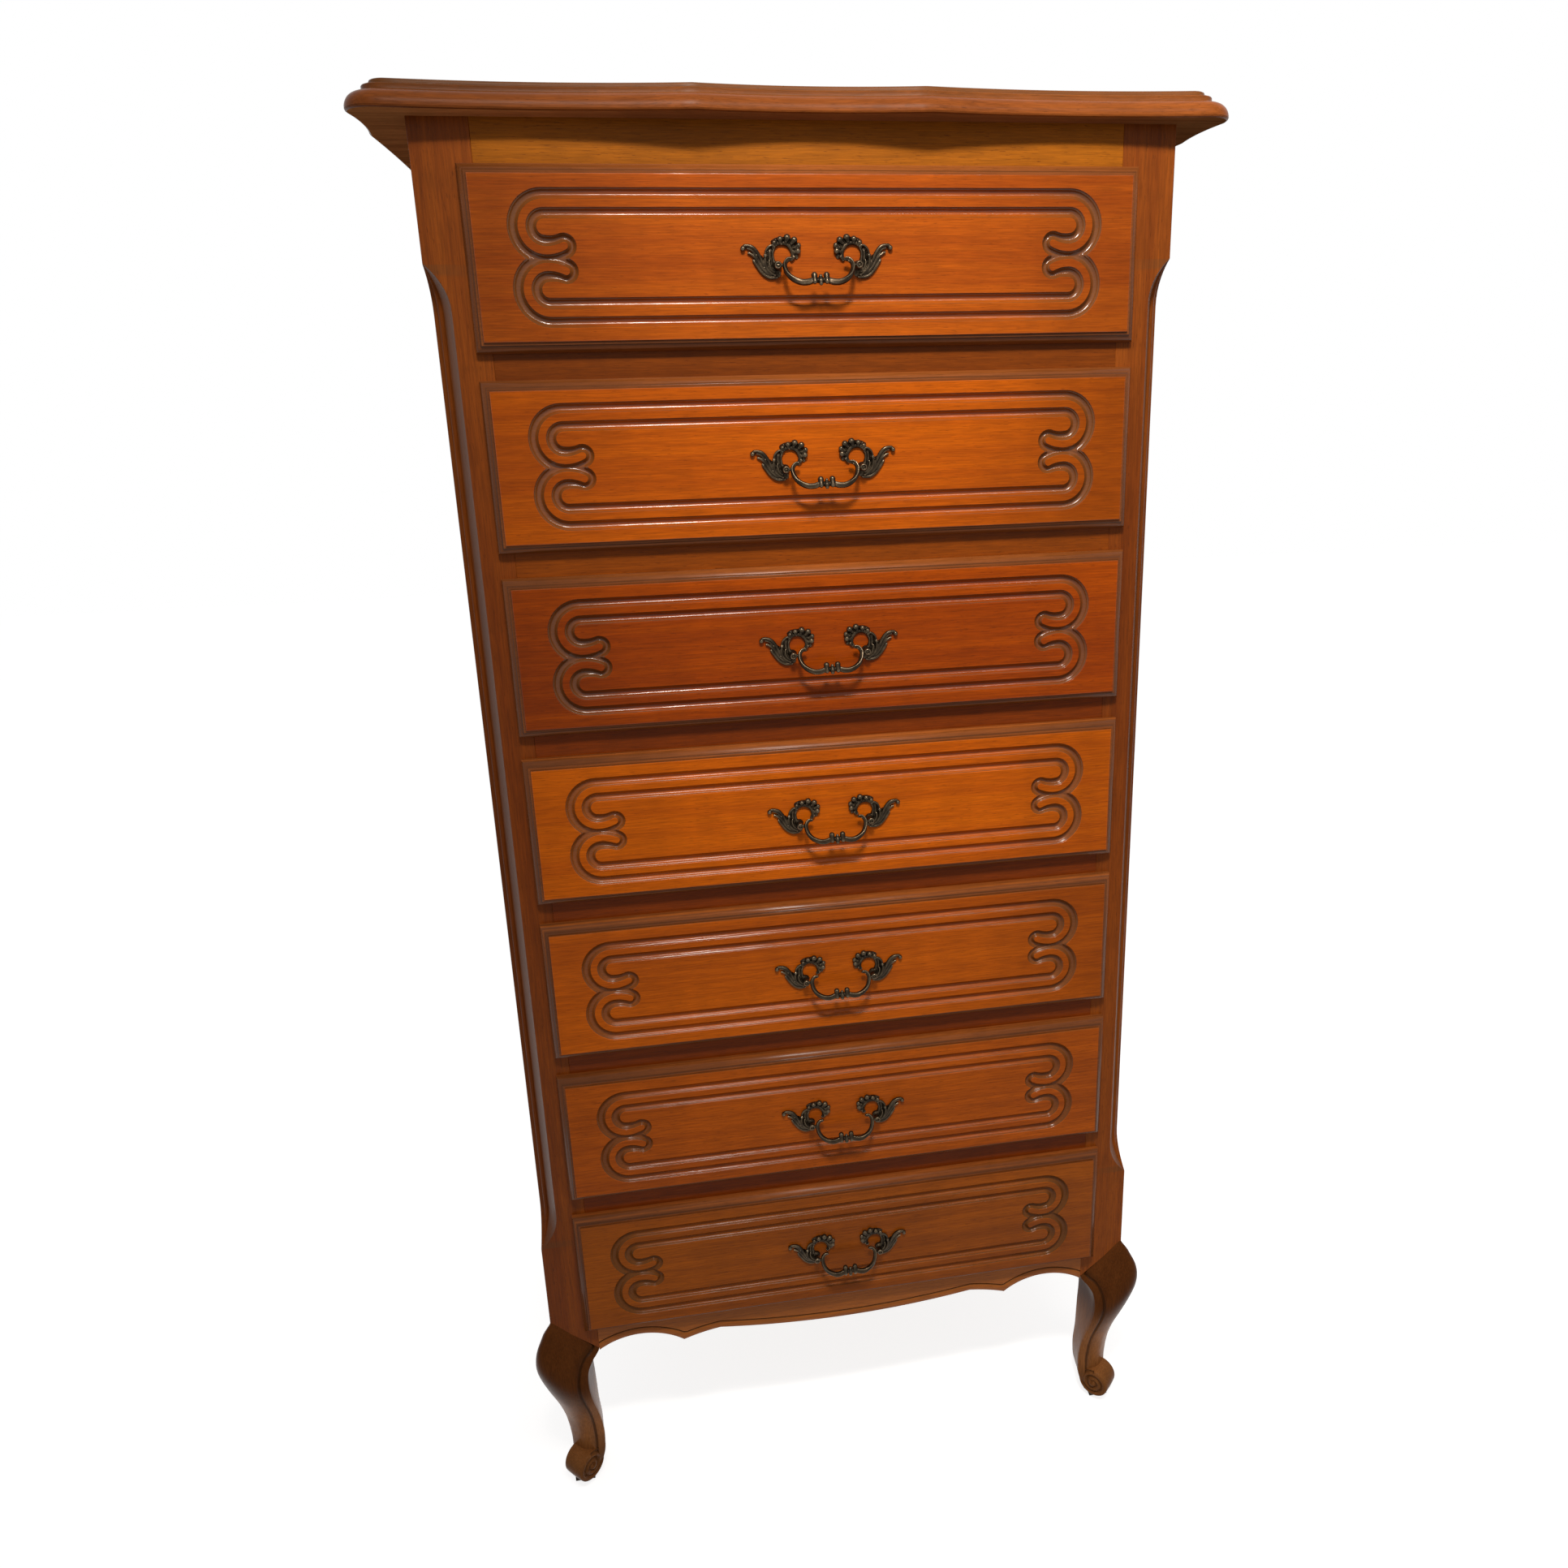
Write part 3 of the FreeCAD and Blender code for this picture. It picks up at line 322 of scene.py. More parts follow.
def wood(name, axis, light, dark, seed, gloss=0.36, specular=LACQUER, ends=(1.0, 1.0), lifts=(),
         patina_and_shade=PATINA_AND_SHADE):
    """Lacquered cherry: streaks and flecks along the grain, short pores, and a dark colour mixed in where
    the mesh is marked, which is real staining in places and painted shade in others. ends are the tone of a
    board toward its left and right end, painted light and shade as the light falls off. Each lift is a
    height in metres, how softly it comes in below, and the tone of what lies above it; on the rails and the
    posts the lifts are painted light and shade by height."""
    g = Graph(bpy.data.materials.new(name))
    drift = g.grain(axis, seed, 2.2, 7.0)
    bands = g.grain(axis, seed, 2.4, 90.0, 6.0, 0.2, 0.6)
    flecks = g.grain(axis, seed, 60.0, 800.0, 3.0, 0.2)
    fibres = g.grain(axis, seed, 30.0, 1300.0)
    pores = g.grain(axis, seed, 130.0, 1500.0, 1.0)
    curl = g.grain(axis, seed, 30.0, 9.0, 2.0, 0.4)
    body = g.math("ADD", g.math("MULTIPLY", bands, 0.6), g.math("MULTIPLY", drift, 0.4))
    colour = g.mix(g.ramp(body, 0.36, 0.62), dark, light)
    for pattern, low, high in ((flecks, 0.9, 1.1), (fibres, 0.88, 1.1), (curl, 0.95, 1.04)):
        colour = g.tint(colour, g.ramp(pattern, 0.32, 0.68, low, high))
    # Painted light and shade: the board lighter or darker toward its ends as the light falls off.
    if ends != (1.0, 1.0):
        along = g.axis_value("X")
        colour = g.tint(colour, g.ramp(along, -0.25, -0.09, ends[0], 1.0))
        colour = g.tint(colour, g.ramp(along, 0.09, 0.25, 1.0, ends[1]))
    # Tone by height: painted light and shade on the rails and the posts, and on the legs a much darker tone
    # above the shin.
    for height, softness, tone in lifts:
        above = g.ramp(g.axis_value("Z"), height - softness, height)
        colour = g.mix(above, colour, g.tint(colour, tone))
    colour = g.mix(g.ramp(pores, 0.64, 0.74, 0.0, 0.5), colour, tuple(c * 0.4 for c in dark))
    # Where the mesh is marked the dark colour comes in: real staining in places, and painted shade in
    # creases, grooves, hollows and on steps.
    stain_and_shade = g.node("Attribute", attribute_name="stain_and_shade").outputs["Fac"]
    stained_and_shaded = g.math("MULTIPLY", stain_and_shade, g.ramp(bands, 0.2, 0.8, 0.8, 1.0), clamp=True)
    relief = g.math("ADD", fibres, g.math("MULTIPLY", pores, -0.5))
    return g.surface({"Base Color": g.mix(stained_and_shaded, colour, patina_and_shade),
                      "Roughness": g.ramp(drift, 0.3, 0.7, gloss - 0.04, gloss + 0.06),
                      "Specular IOR Level": specular,
                      "Normal": g.bump(relief, 0.12, 0.0004)})


def raw_wood(name, axis, light, dark, seed):
    """Unfinished timber of the inside."""
    g = Graph(bpy.data.materials.new(name))
    bands = g.grain(axis, seed, 4.0, 60.0, 4.0, 0.8)
    fibres = g.grain(axis, seed, 30.0, 800.0)
    colour = g.mix(g.ramp(bands, 0.3, 0.7), dark, light)
    return g.surface({"Base Color": g.tint(colour, g.ramp(fibres, 0.3, 0.7, 0.85, 1.08)),
                      "Roughness": g.ramp(fibres, 0.3, 0.7, 0.6, 0.75),
                      "Specular IOR Level": 0.2,
                      "Normal": g.bump(fibres, 0.25, 0.0005)})


def bronze(name):
    """Antique bronze: brown-black patina in the hollows, darkened there to near black as painted shade, and
    rubbed bright where the relief stands out.
    """
    g = Graph(bpy.data.materials.new(name))
    cloud = g.noise((0, 0, 0), (140, 140, 140), 4.0)
    grit = g.noise((3, 5, 7), (1500, 1500, 1500), 2.0)
    pointed = g.node("NewGeometry").outputs["Pointiness"]
    relief = g.math("ADD", pointed, g.math("MULTIPLY", cloud, 0.04))
    colour = g.mix(g.ramp(cloud, 0.35, 0.65), (0.020, 0.013, 0.007), (0.042, 0.028, 0.015))
    colour = g.mix(g.ramp(relief, 0.525, 0.61), colour, (0.30, 0.225, 0.14))
    # Painted shade: the hollows, where the relief sinks, go near black.
    return g.surface({"Base Color": g.mix(g.ramp(relief, 0.43, 0.51), (0.006, 0.004, 0.002), colour),
                      "Metallic": 0.85,
                      "Roughness": g.ramp(relief, 0.46, 0.58, 0.45, 0.24),
                      "Normal": g.bump(grit, 0.06, 0.0003)})


def felt(name):
    g = Graph(bpy.data.materials.new(name))
    fluff = g.noise((0, 0, 0), (900, 900, 900), 4.0)
    return g.surface({"Base Color": g.mix(fluff, (0.05, 0.035, 0.025), (0.13, 0.09, 0.06)),
                      "Roughness": 0.95,
                      "Specular IOR Level": 0.1,
                      "Normal": g.bump(fluff, 0.6, 0.001)})


# Each drawer front was cut from its own board: its light and dark tones, from the top drawer down, and its
# tone toward its left and right end, which is painted light and shade.
FRONT_TONES = (
    ((0.45, 0.090, 0.004), (0.33, 0.058, 0.003), (0.66, 0.74)),
    ((0.52, 0.100, 0.002), (0.40, 0.070, 0.002), (0.78, 0.58)),
    ((0.38, 0.061, 0.001), (0.27, 0.039, 0.001), (0.72, 0.98)),
    ((0.60, 0.118, 0.002), (0.48, 0.086, 0.002), (0.87, 0.8)),
    ((0.53, 0.105, 0.003), (0.40, 0.074, 0.002), (1.0, 0.7)),
    ((0.46, 0.091, 0.004), (0.34, 0.064, 0.003), (1.0, 1.0)),
    ((0.37, 0.086, 0.005), (0.26, 0.058, 0.004), (1.0, 1.0)),
)
FRONT_WOODS = []
CARVED_WOODS = []
for i, (light, dark, ends) in enumerate(FRONT_TONES):
    seed = 3.0 + 2.7 * i
    FRONT_WOODS.append(wood("cherry_front_%d" % (i + 1), "x", light, dark, seed, ends=ends))
    CARVED_WOODS.append(wood("cherry_carved_%d" % (i + 1), "x", light, dark, seed, gloss=0.19,
                             specular=CARVED_LACQUER[i], ends=ends))
TOP_RAIL_LOW = 1.25
# Painted light and shade by height: lighter above 0.95 m, darker again above 1.05 m, and much lighter on the
# top rail.
RAIL_WOOD = wood("cherry_rail", "x", (0.215, 0.037, 0.002), (0.172, 0.029, 0.0015), 31.0,
                 lifts=((0.95, 0.1, (1.19, 1.46, 1.3)), (1.05, 0.05, (0.73, 0.73, 0.9)),
                        (TOP_RAIL_LOW, 0.002, (1.84, 2.53, 1.6))))
APRON_WOOD = wood("cherry_apron", "x", (0.39, 0.108, 0.012), (0.28, 0.074, 0.008), 37.0, specular=0.2)
POST_TONES = ((0.272, 0.063, 0.006), (0.186, 0.039, 0.004))
# Painted light and shade on the posts: darker from about 0.7 m up, lighter again toward the top.
POST_PAINTED_LIGHT = ((0.7, 0.3, (0.78, 0.72, 0.7)), (1.16, 0.25, (1.22, 1.34, 1.4)))
POST_WOOD = wood("cherry_post", "z", *POST_TONES, 41.0, lifts=POST_PAINTED_LIGHT)
CANT_WOOD = wood("cherry_cant", "z", *POST_TONES, 41.0, 0.26, 0.04, lifts=POST_PAINTED_LIGHT)
SIDE_WOOD = wood("cherry_side", "z", (0.30, 0.072, 0.006), (0.21, 0.046, 0.004), 47.0)
SIDE_RAIL_WOOD = wood("cherry_side_rail", "y", (0.29, 0.070, 0.006), (0.20, 0.045, 0.004), 53.0)
LEG_WOOD = wood("cherry_leg", "z", (0.38, 0.142, 0.040), (0.28, 0.100, 0.027), 59.0, 0.26, 0.03,
                lifts=((0.142, 0.055, (0.30, 0.235, 0.17)),), patina_and_shade=(0.030, 0.012, 0.004))
LIP_WOOD = wood("cherry_lip", "x", (0.34, 0.092, 0.018), (0.26, 0.068, 0.012), 83.0, 0.24, 0.12,
                patina_and_shade=(0.066, 0.022, 0.007))
# Painted light: the top darker toward its left end and lighter toward its right, its underside lighter
# toward its left end.
TOP_WOOD = wood("cherry_top", "x", (0.215, 0.056, 0.010), (0.145, 0.035, 0.006), 61.0, 0.26, 0.06,
                ends=(0.85, 1.2))
TOP_UNDERSIDE = wood("cherry_underside", "x", (0.28, 0.11, 0.036), (0.19, 0.07, 0.022), 61.0, 0.6, 0.0,
                     ends=(1.8, 1.0))
DRAWER_SIDE_WOOD = raw_wood("beech_y", "y", (0.62, 0.42, 0.22), (0.47, 0.29, 0.14), 67.0)
DRAWER_BACK_WOOD = raw_wood("beech_x", "x", (0.62, 0.42, 0.22), (0.47, 0.29, 0.14), 71.0)
PLYWOOD = raw_wood("plywood", "x", (0.58, 0.36, 0.17), (0.45, 0.25, 0.11), 73.0)
BRONZE = bronze("antique_bronze")
FELT = felt("felt")


def other_finish(mesh, material, chosen):
    """Give the chosen faces of a mesh another finish."""
    index = len(mesh.materials)
    mesh.materials.append(material)
    for polygon in mesh.polygons:
        if chosen(polygon):
            polygon.material_index = index


def dress(node, material):
    """A carried-over node keeps its shape and gets its finish."""
    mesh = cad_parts[node].data
    mesh.materials.clear()
    mesh.materials.append(material)


# ---------------------------------------------------------------- drawer fronts

FRONT_HALF_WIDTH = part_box("drawer_1_front")[1].x / MM
FRONT_HALF_HEIGHT = (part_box("drawer_1_front")[1].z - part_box("drawer_1_front")[0].z) / MM / 2
FRONT_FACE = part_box("drawer_1_front")[0].y / MM
FRONT_SEAT = CARCASS_FACE - 0.2
FIELD_INSET = 8.0
FLAT_NORMAL = 0.9995

# The carved ribbon of one quarter of the field: a run along the edge, a half turn and a curl.
RUN_END = 206.7
RUN_HEIGHT = 38.9
TURN_RADIUS = 16.55
CURL_RADIUS = 29.9
CURL_SWEEP = math.radians(26.7)
TURN_STEPS = 22
CURL_STEPS = 6
RIDGE_HALF = 2.65
GROOVE_WIDTH = 8.4
CURL_GROOVE_WIDTH = 6.8
# Section of a groove beside the ridge: share of its width, and depth.
GROOVE_SECTION = ((0.0, 0.0), (0.045, 0.3), (0.06, 1.0), (0.12, 1.15), (0.19, 2.2), (0.286, 3.0),
                  (0.43, 3.6), (0.5, 3.7), (0.57, 3.6), (0.714, 3.0), (0.81, 2.2), (0.88, 1.15), (0.94, 1.0),
                  (0.955, 0.3), (1.0, 0.0))
# Moulded edge of a front, from the outer edge in: inset, and depth behind the field.
LIP_SECTION = ((0.0, 12.8), (0.0, 9.4), (0.25, 8.8), (0.9, 7.4), (1.9, 5.9), (3.1, 4.6), (4.3, 3.7),
               (5.2, 3.3), (5.25, 2.6), (5.5, 2.15), (6.0, 1.95), (7.2, 1.95), (7.75, 2.0), (7.8, 0.5),
               (8.0, 0.12), (8.5, 0.0))


def ribbon_stations():
    """(point, left normal, groove width) along the quarter ribbon's centreline, from the middle outwards."""
    stations = [(Vector((x, RUN_HEIGHT)), Vector((0, 1)), GROOVE_WIDTH) for x in (0.0, 60.0, 120.0, 170.0)]
    centre = Vector((RUN_END, RUN_HEIGHT - TURN_RADIUS))
    for i in range(TURN_STEPS + 1):
        outward = direction_at(math.pi / 2 - math.pi * i / TURN_STEPS)
        stations.append((centre + outward * TURN_RADIUS, outward, GROOVE_WIDTH))
    curl_centre = centre - Vector((0, TURN_RADIUS - CURL_RADIUS))
    for i in range(1, CURL_STEPS + 1):
        outward = direction_at(-math.pi / 2 - CURL_SWEEP * i / CURL_STEPS)
        width = GROOVE_WIDTH + (CURL_GROOVE_WIDTH - GROOVE_WIDTH) * i / CURL_STEPS
        stations.append((curl_centre + outward * CURL_RADIUS, outward, width))
    return stations


def offset_line(share):
    """The line all round the ribbon at a share of the groove's width: out along it, round its end, back."""
    stations = ribbon_stations()
    outer = [p + n * (RIDGE_HALF + w * share) for p, n, w in stations]
    inner = [p - n * (RIDGE_HALF + w * share) for p, n, w in stations]
    tip, normal, width = stations[-1]
    reach = RIDGE_HALF + width * share
    start = math.atan2(normal.y, normal.x)
    cap = [tip + reach * direction_at(start - math.pi * i / 12) for i in range(1, 12)]
    return outer + cap + inner[::-1]


def clipped_above_zero(line):
    """The stretches of a line with y above 0, with the exact crossing points."""
    stretches, current = [], []
    for i, point in enumerate(line):
        if i and (point.y > 0) != (line[i - 1].y > 0):
            before = line[i - 1]
            t = before.y / (before.y - point.y)
            current.append(Vector((before.x + (point.x - before.x) * t, 0.0)))
            if point.y <= 0:
                stretches.append(current)
                current = []
        if point.y > 0:
            current.append(point)
    if current:
        stretches.append(current)
    return [s for s in stretches if len(s) > 1]


def field_quarter(half_width, half_height):
    """Triangles of a quarter of the carved field, as (vertices (u, v, depth), faces)."""
    points, depths, edges = [], [], []

    def add_line(line, depth):
        start = len(points)
        points.extend(line)
        depths.extend([depth] * len(line))
        edges.extend((start + i, start + i + 1) for i in range(len(line) - 1))

    for share, depth in GROOVE_SECTION:
        for stretch in clipped_above_zero(offset_line(share)):
            add_line(stretch, depth)
    start = len(points)
    points.extend(Vector((u * half_width, v * half_height)) for u, v in ((0, 0), (1, 0), (1, 1), (0, 1)))
    depths.extend([0.0] * 4)
    edges.extend((start + i, start + (i + 1) % 4) for i in range(4))
    result = delaunay_2d_cdt(points, edges, [list(range(start, start + 4))], 1, 1e-4)
    flat, faces, origins = result[0], result[2], result[3]
    vertices = [(point.x, point.y, max([depths[i] for i in origin], default=0.0))
                for point, origin in zip(flat, origins)]
    return vertices, faces


def mirrored_quarters(vertices, faces):
    parts = []
    for u_sign in (1, -1):
        for v_sign in (1, -1):
            flipped = u_sign * v_sign < 0
            parts.append(([(u_sign * u, v_sign * v, d) for u, v, d in vertices],
                          [tuple(reversed(f)) if flipped else tuple(f) for f in faces]))
    return join(parts)


def lip_rings():
    """The moulded edge of a front from its back to the field, as rings of (u, v, depth)."""
    rings = []
    for inset, depth in LIP_SECTION:
        a, b = FRONT_HALF_WIDTH - inset, FRONT_HALF_HEIGHT - inset
        rings.append([(u * a, v * b, depth) for u, v in
                      ((-1, -1), (0, -1), (1, -1), (1, 0), (1, 1), (0, 1), (-1, 1), (-1, 0))])
    return rings


# Depths of the moulded edge where its dark colour changes: its back, its side, and its sharp corners, which
# carry painted shade.
LIP_BACK = 12.0
LIP_SIDE = 6.5
LIP_CORNERS = (1.96, 3.4)
# Depths of the arris of a groove, and where a scroll's darker stretch begins: across, and up.
GROOVE_ARRIS = (0.9, 1.1)
SCROLL_START = RUN_END - 15.0
SCROLL_TOP = RUN_HEIGHT - 9.0
SCROLL_FADE = (25.0, 4.0)


def edge_distance(u, v):
    return min(FRONT_HALF_WIDTH - abs(u), FRONT_HALF_HEIGHT - abs(v))


def lip_stain_and_shade(u, v, depth):
    """Dark colour in the moulded edge: some at its back, painted shade in its sharp corners, and side by
    side real staining with painted light and shade, darkest on the left and lightest on top.
    """
    if depth > LIP_BACK:
        return 0.3
    if LIP_CORNERS[0] < depth < LIP_CORNERS[1]:
        return 0.9
    if FRONT_HALF_WIDTH - abs(u) < FRONT_HALF_HEIGHT - abs(v):
        return 0.6 if u > 0 else 0.75
    if v < 0:
        return 0.45
    return 0.0 if depth > LIP_SIDE else 0.2


def groove_stain_and_shade(u, v, depth):
    """Dark colour in the carving: painted shade on the arris of a groove, and the groove darker in the
    scrolls than in the runs.
    """
    if depth < GROOVE_ARRIS[0]:
        return 0.0
    if depth < GROOVE_ARRIS[1]:
        return 1.0
    past_run = (abs(u) - SCROLL_START) / SCROLL_FADE[0]
    in_curl = (SCROLL_TOP - abs(v)) / SCROLL_FADE[1]
    return 0.2 + 0.5 * min(1.0, max(0.0, past_run, in_curl))


def make_front(number, field):
    node = "drawer_%d_front" % number
    low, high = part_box(node)
    centre_z = (low.z + high.z) / 2 / MM
    vertices, faces = join([lofted(lip_rings(), cap_last=False), field])
    placed = [(u, FRONT_FACE + depth, centre_z + v) for u, v, depth in vertices]
    mesh = merged(node, [behind(node, FRONT_SEAT + CUT_GAP), mesh_of(node, placed, faces)])
    finished("front_%d" % number, mesh, FRONT_WOODS[number - 1], "drawer_%d" % number, [node],
             sharp=32.0)
    for polygon in mesh.polygons:
        polygon.use_smooth = abs(polygon.normal.y) < FLAT_NORMAL

    def stain_and_shade(p):
        place = (p.x, p.z - centre_z)
        if p.y >= FRONT_SEAT + 0.01:
            return 0.0
        kind = lip_stain_and_shade if edge_distance(*place) < FIELD_INSET - 0.1 else groove_stain_and_shade
        return kind(*place, p.y - FRONT_FACE)

    def in_carving(face):
        return face.use_smooth and FRONT_FACE < face.center.y / MM < FRONT_SEAT - 0.1

    def in_lip(face):
        centre = face.center / MM
        edge = edge_distance(centre.x, centre.z - centre_z)
        return FRONT_FACE + 0.2 < centre.y < FRONT_SEAT + 0.01 and edge < FIELD_INSET - 0.05

    paint(mesh, "stain_and_shade", stain_and_shade)
    other_finish(mesh, CARVED_WOODS[number - 1], in_carving)
    other_finish(mesh, LIP_WOOD, in_lip)


edge = LIP_SECTION[-1][0]
carved_field = mirrored_quarters(*field_quarter(FRONT_HALF_WIDTH - edge, FRONT_HALF_HEIGHT - edge))
for number in DRAWERS:
    make_front(number, carved_field)

# ---------------------------------------------------------------- front posts

CANT_FRONT = 18.0
CANT_SIDE = 25.0
CANT_RUNOUT = 36.0
CANT_TOP_MARGIN = 101.0
CANT_FOOT_MARGIN = 89.0
SEAM_SLOPE = 37.0 / 38.0
EDGE_ROUND = 0.5
BEAD_RADIUS = 2.3
# Profile worked in the cant, from the front face to the side face: in from the side, back from the front.
CANT_COVE = ((18.0, 0.0), (17.5, 0.35), (17.1, 1.2), (15.6, 4.6), (13.9, 7.9), (12.1, 11.0), (10.4, 13.8),
             (8.9, 16.1), (8.3, 16.9))
COVE_END = 9.0
CANT_BEAD_CENTRE = (6.7, 19.3)
CANT_TAIL = ((4.6, 21.9), (2.9, 22.6), (1.2, 23.3), (0.35, 23.9), (0.0, 25.0))
# Outside its tips the cant is a trace of itself, so that all sections have the same points.
CANT_LEAST = 0.02


def cant_profile():
    """Points of the worked cant: a wide hollow, a bead, and a small hollow to the side face."""
    centre = Vector(CANT_BEAD_CENTRE)
    outward = Vector((-CANT_SIDE, -CANT_FRONT)).normalized()
    along = Vector((CANT_FRONT, -CANT_SIDE)).normalized()
    bead = [centre + BEAD_RADIUS * (along * math.cos(math.pi * i / 7) + outward * math.sin(math.pi * i / 7))
            for i in range(8)]
    return [Vector(p) for p in CANT_COVE] + bead + [Vector(p) for p in CANT_TAIL]


def cant_share(z):
    """Share of the cant's full size at a height: 1 in the middle, run out in an arc at each tip."""
    depth = CANT_FRONT * CANT_SIDE / math.hypot(CANT_FRONT, CANT_SIDE)
    radius = (CANT_RUNOUT ** 2 + depth ** 2) / (2 * depth)
    into = min(CARCASS_TOP - CANT_TOP_MARGIN - z, z - LEG_RISE - CANT_FOOT_MARGIN)
    if into <= 0:
        return 0.0
    if into >= CANT_RUNOUT:
        return 1.0
    return (depth - radius + math.sqrt(radius ** 2 - (CANT_RUNOUT - into) ** 2)) / depth


def post_section(z, sign):
    """Closed section of a front post, the leg's seam below it followed by its lowest points."""
    share = max(cant_share(z), CANT_LEAST)
    outline = [(HALF_OPENING, EDGE_ROUND), (HALF_OPENING + EDGE_ROUND, 0.0)]
    outline += [(HALF_BODY - p.x * share, p.y * share) for p in cant_profile()]
    outline += [(HALF_BODY, POST_DEPTH - EDGE_ROUND), (HALF_BODY - EDGE_ROUND, POST_DEPTH),
                (HALF_OPENING, POST_DEPTH)]
    return [(sign * x, CARCASS_FACE + y, z) for x, y in outline]


def seam_height(x, y):
    """Height of the V-shaped seam between a front post and its leg."""
    return max(SEAM_LOW, LEG_RISE - SEAM_SLOPE * ((HALF_BODY - abs(x)) + (y - CARCASS_FACE)))


def make_front_post(side, sign):
    high_tip = CARCASS_TOP - CANT_TOP_MARGIN
    low_tip = LEG_RISE + CANT_FOOT_MARGIN
    runs = [i / 9 for i in range(10)]
    levels = [LEG_RISE + 6, low_tip - 0.5]
    levels += [low_tip + CANT_RUNOUT * t ** 1.6 for t in runs]
    levels += [high_tip - CANT_RUNOUT * t ** 1.6 for t in reversed(runs)]
    levels += [high_tip + 0.5, CARCASS_TOP]
    rings = [[(x, y, seam_height(x, y)) for x, y, z in post_section(levels[0], sign)]]
    rings += [post_section(z, sign) for z in levels]
    mesh = mesh_of("post", *lofted(rings))
    finished("post_" + side, mesh, POST_WOOD, "carcass", ["post_front_" + side],
             sharp=24.0)

    def stain_and_shade(p):
        """More in the cove than on the bead and the tail: real staining, with painted shade in the hollow of
        the cove.
        """
        from_corner = HALF_BODY - abs(p.x)
        back = p.y - CARCASS_FACE
        share = cant_share(p.z)
        if share < 0.05 or from_corner > (CANT_FRONT - 0.8) * share + 0.3 or back > CANT_SIDE * share:
            return 0.0
        return 0.4 if from_corner > COVE_END * share else 0.15

    paint(mesh, "stain_and_shade", stain_and_shade)
    other_finish(mesh, CANT_WOOD, lambda f: stain_and_shade(f.center / MM) > 0)


for side, sign in SIDES.items():
    make_front_post(side, sign)

# ---------------------------------------------------------------- apron

APRON_END = (255.0, 168.0)
APRON_CUSP = (170.0, 165.5)
APRON_SWELL = (132.0, 174.0)
APRON_ARCH_TOP = 180.5
APRON_CENTRE = 165.0
APRON_THICKNESS = 22.0
# From the lower edge up: distance from the edge, and depth behind the face.
APRON_BAND = ((0.0, 3.2), (0.35, 1.7), (1.3, 0.75), (3.0, 0.3), (5.5, 0.25), (7.2, 0.5), (7.9, 0.9),
              (8.3, 1.9), (8.9, 2.1), (9.3, 1.7), (9.6, 0.4), (10.2, 0.0))
APRON_GROOVE = (0.8, 3.0)


def apron_edge():
    """Right half of the lower edge from the middle outwards, as points across and up."""
    swell_left = (-APRON_SWELL[0], APRON_SWELL[1])
    belly = arc_points(swell_left, APRON_SWELL, APRON_SWELL[1] - APRON_CENTRE, 80)
    right_half = [p for p in belly if p.x > -1e-6]
    flank = arc_points(APRON_SWELL, APRON_CUSP, -(APRON_SWELL[1] - APRON_CUSP[1]) / 8, 10)
    arch_rise = APRON_ARCH_TOP - (APRON_CUSP[1] + APRON_END[1]) / 2
    arch = arc_points(APRON_CUSP, APRON_END, -arch_rise, 28)
    return right_half + flank + arch + [Vector(APRON_END)]


def above_edge(edge, x, distance):
    """Height at x of the line that runs at a distance above the edge."""
    highest = 0.0
    for point in edge:
        gap = abs(point.x - x)
        if gap <= distance:
            highest = max(highest, point.y + math.sqrt(distance ** 2 - gap ** 2))
    return highest


def make_apron():
    half = apron_edge()
    edge = [Vector((-p.x, p.y)) for p in reversed(half) if p.x > 1e-6] + half
    dense = [a.lerp(b, i / 6) for a, b in zip(edge, edge[1:]) for i in range(6)] + [edge[-1]]
    columns = [p.x for p in edge]
    rows = []
    for distance, depth in APRON_BAND:
        heights = [above_edge(dense, p.x, distance) if distance else p.y for p in edge]
        rows.append([(x, CARCASS_FACE + depth, z) for x, z in zip(columns, heights)])
    rear = CARCASS_FACE + APRON_THICKNESS
    rows.append([(x, CARCASS_FACE, LEG_RISE) for x in columns])
    rows.append([(x, rear, LEG_RISE) for x in columns])
    rows.append([(p.x, rear, p.y) for p in edge])
    vertices = [point for row in rows for point in row]
    faces = bridge(rows + [rows[0]], closed=False)
    total = len(vertices)
    faces = [tuple(i % total for i in face) for face in faces]
    count = len(columns)
    faces.append(tuple(row * count for row in range(len(rows))))
    faces.append(tuple(row * count + count - 1 for row in reversed(range(len(rows)))))
    mesh = mesh_of("apron", vertices, faces)
    finished("apron", mesh, APRON_WOOD, "carcass", ["front_apron"], sharp=28.0)
    # Painted shade in the groove above the lower edge.
    shallow, deep = APRON_GROOVE
    paint(mesh, "stain_and_shade", lambda p: 0.7 if shallow < p.y - CARCASS_FACE < deep else 0.0)


make_apron()

# ---------------------------------------------------------------- front legs

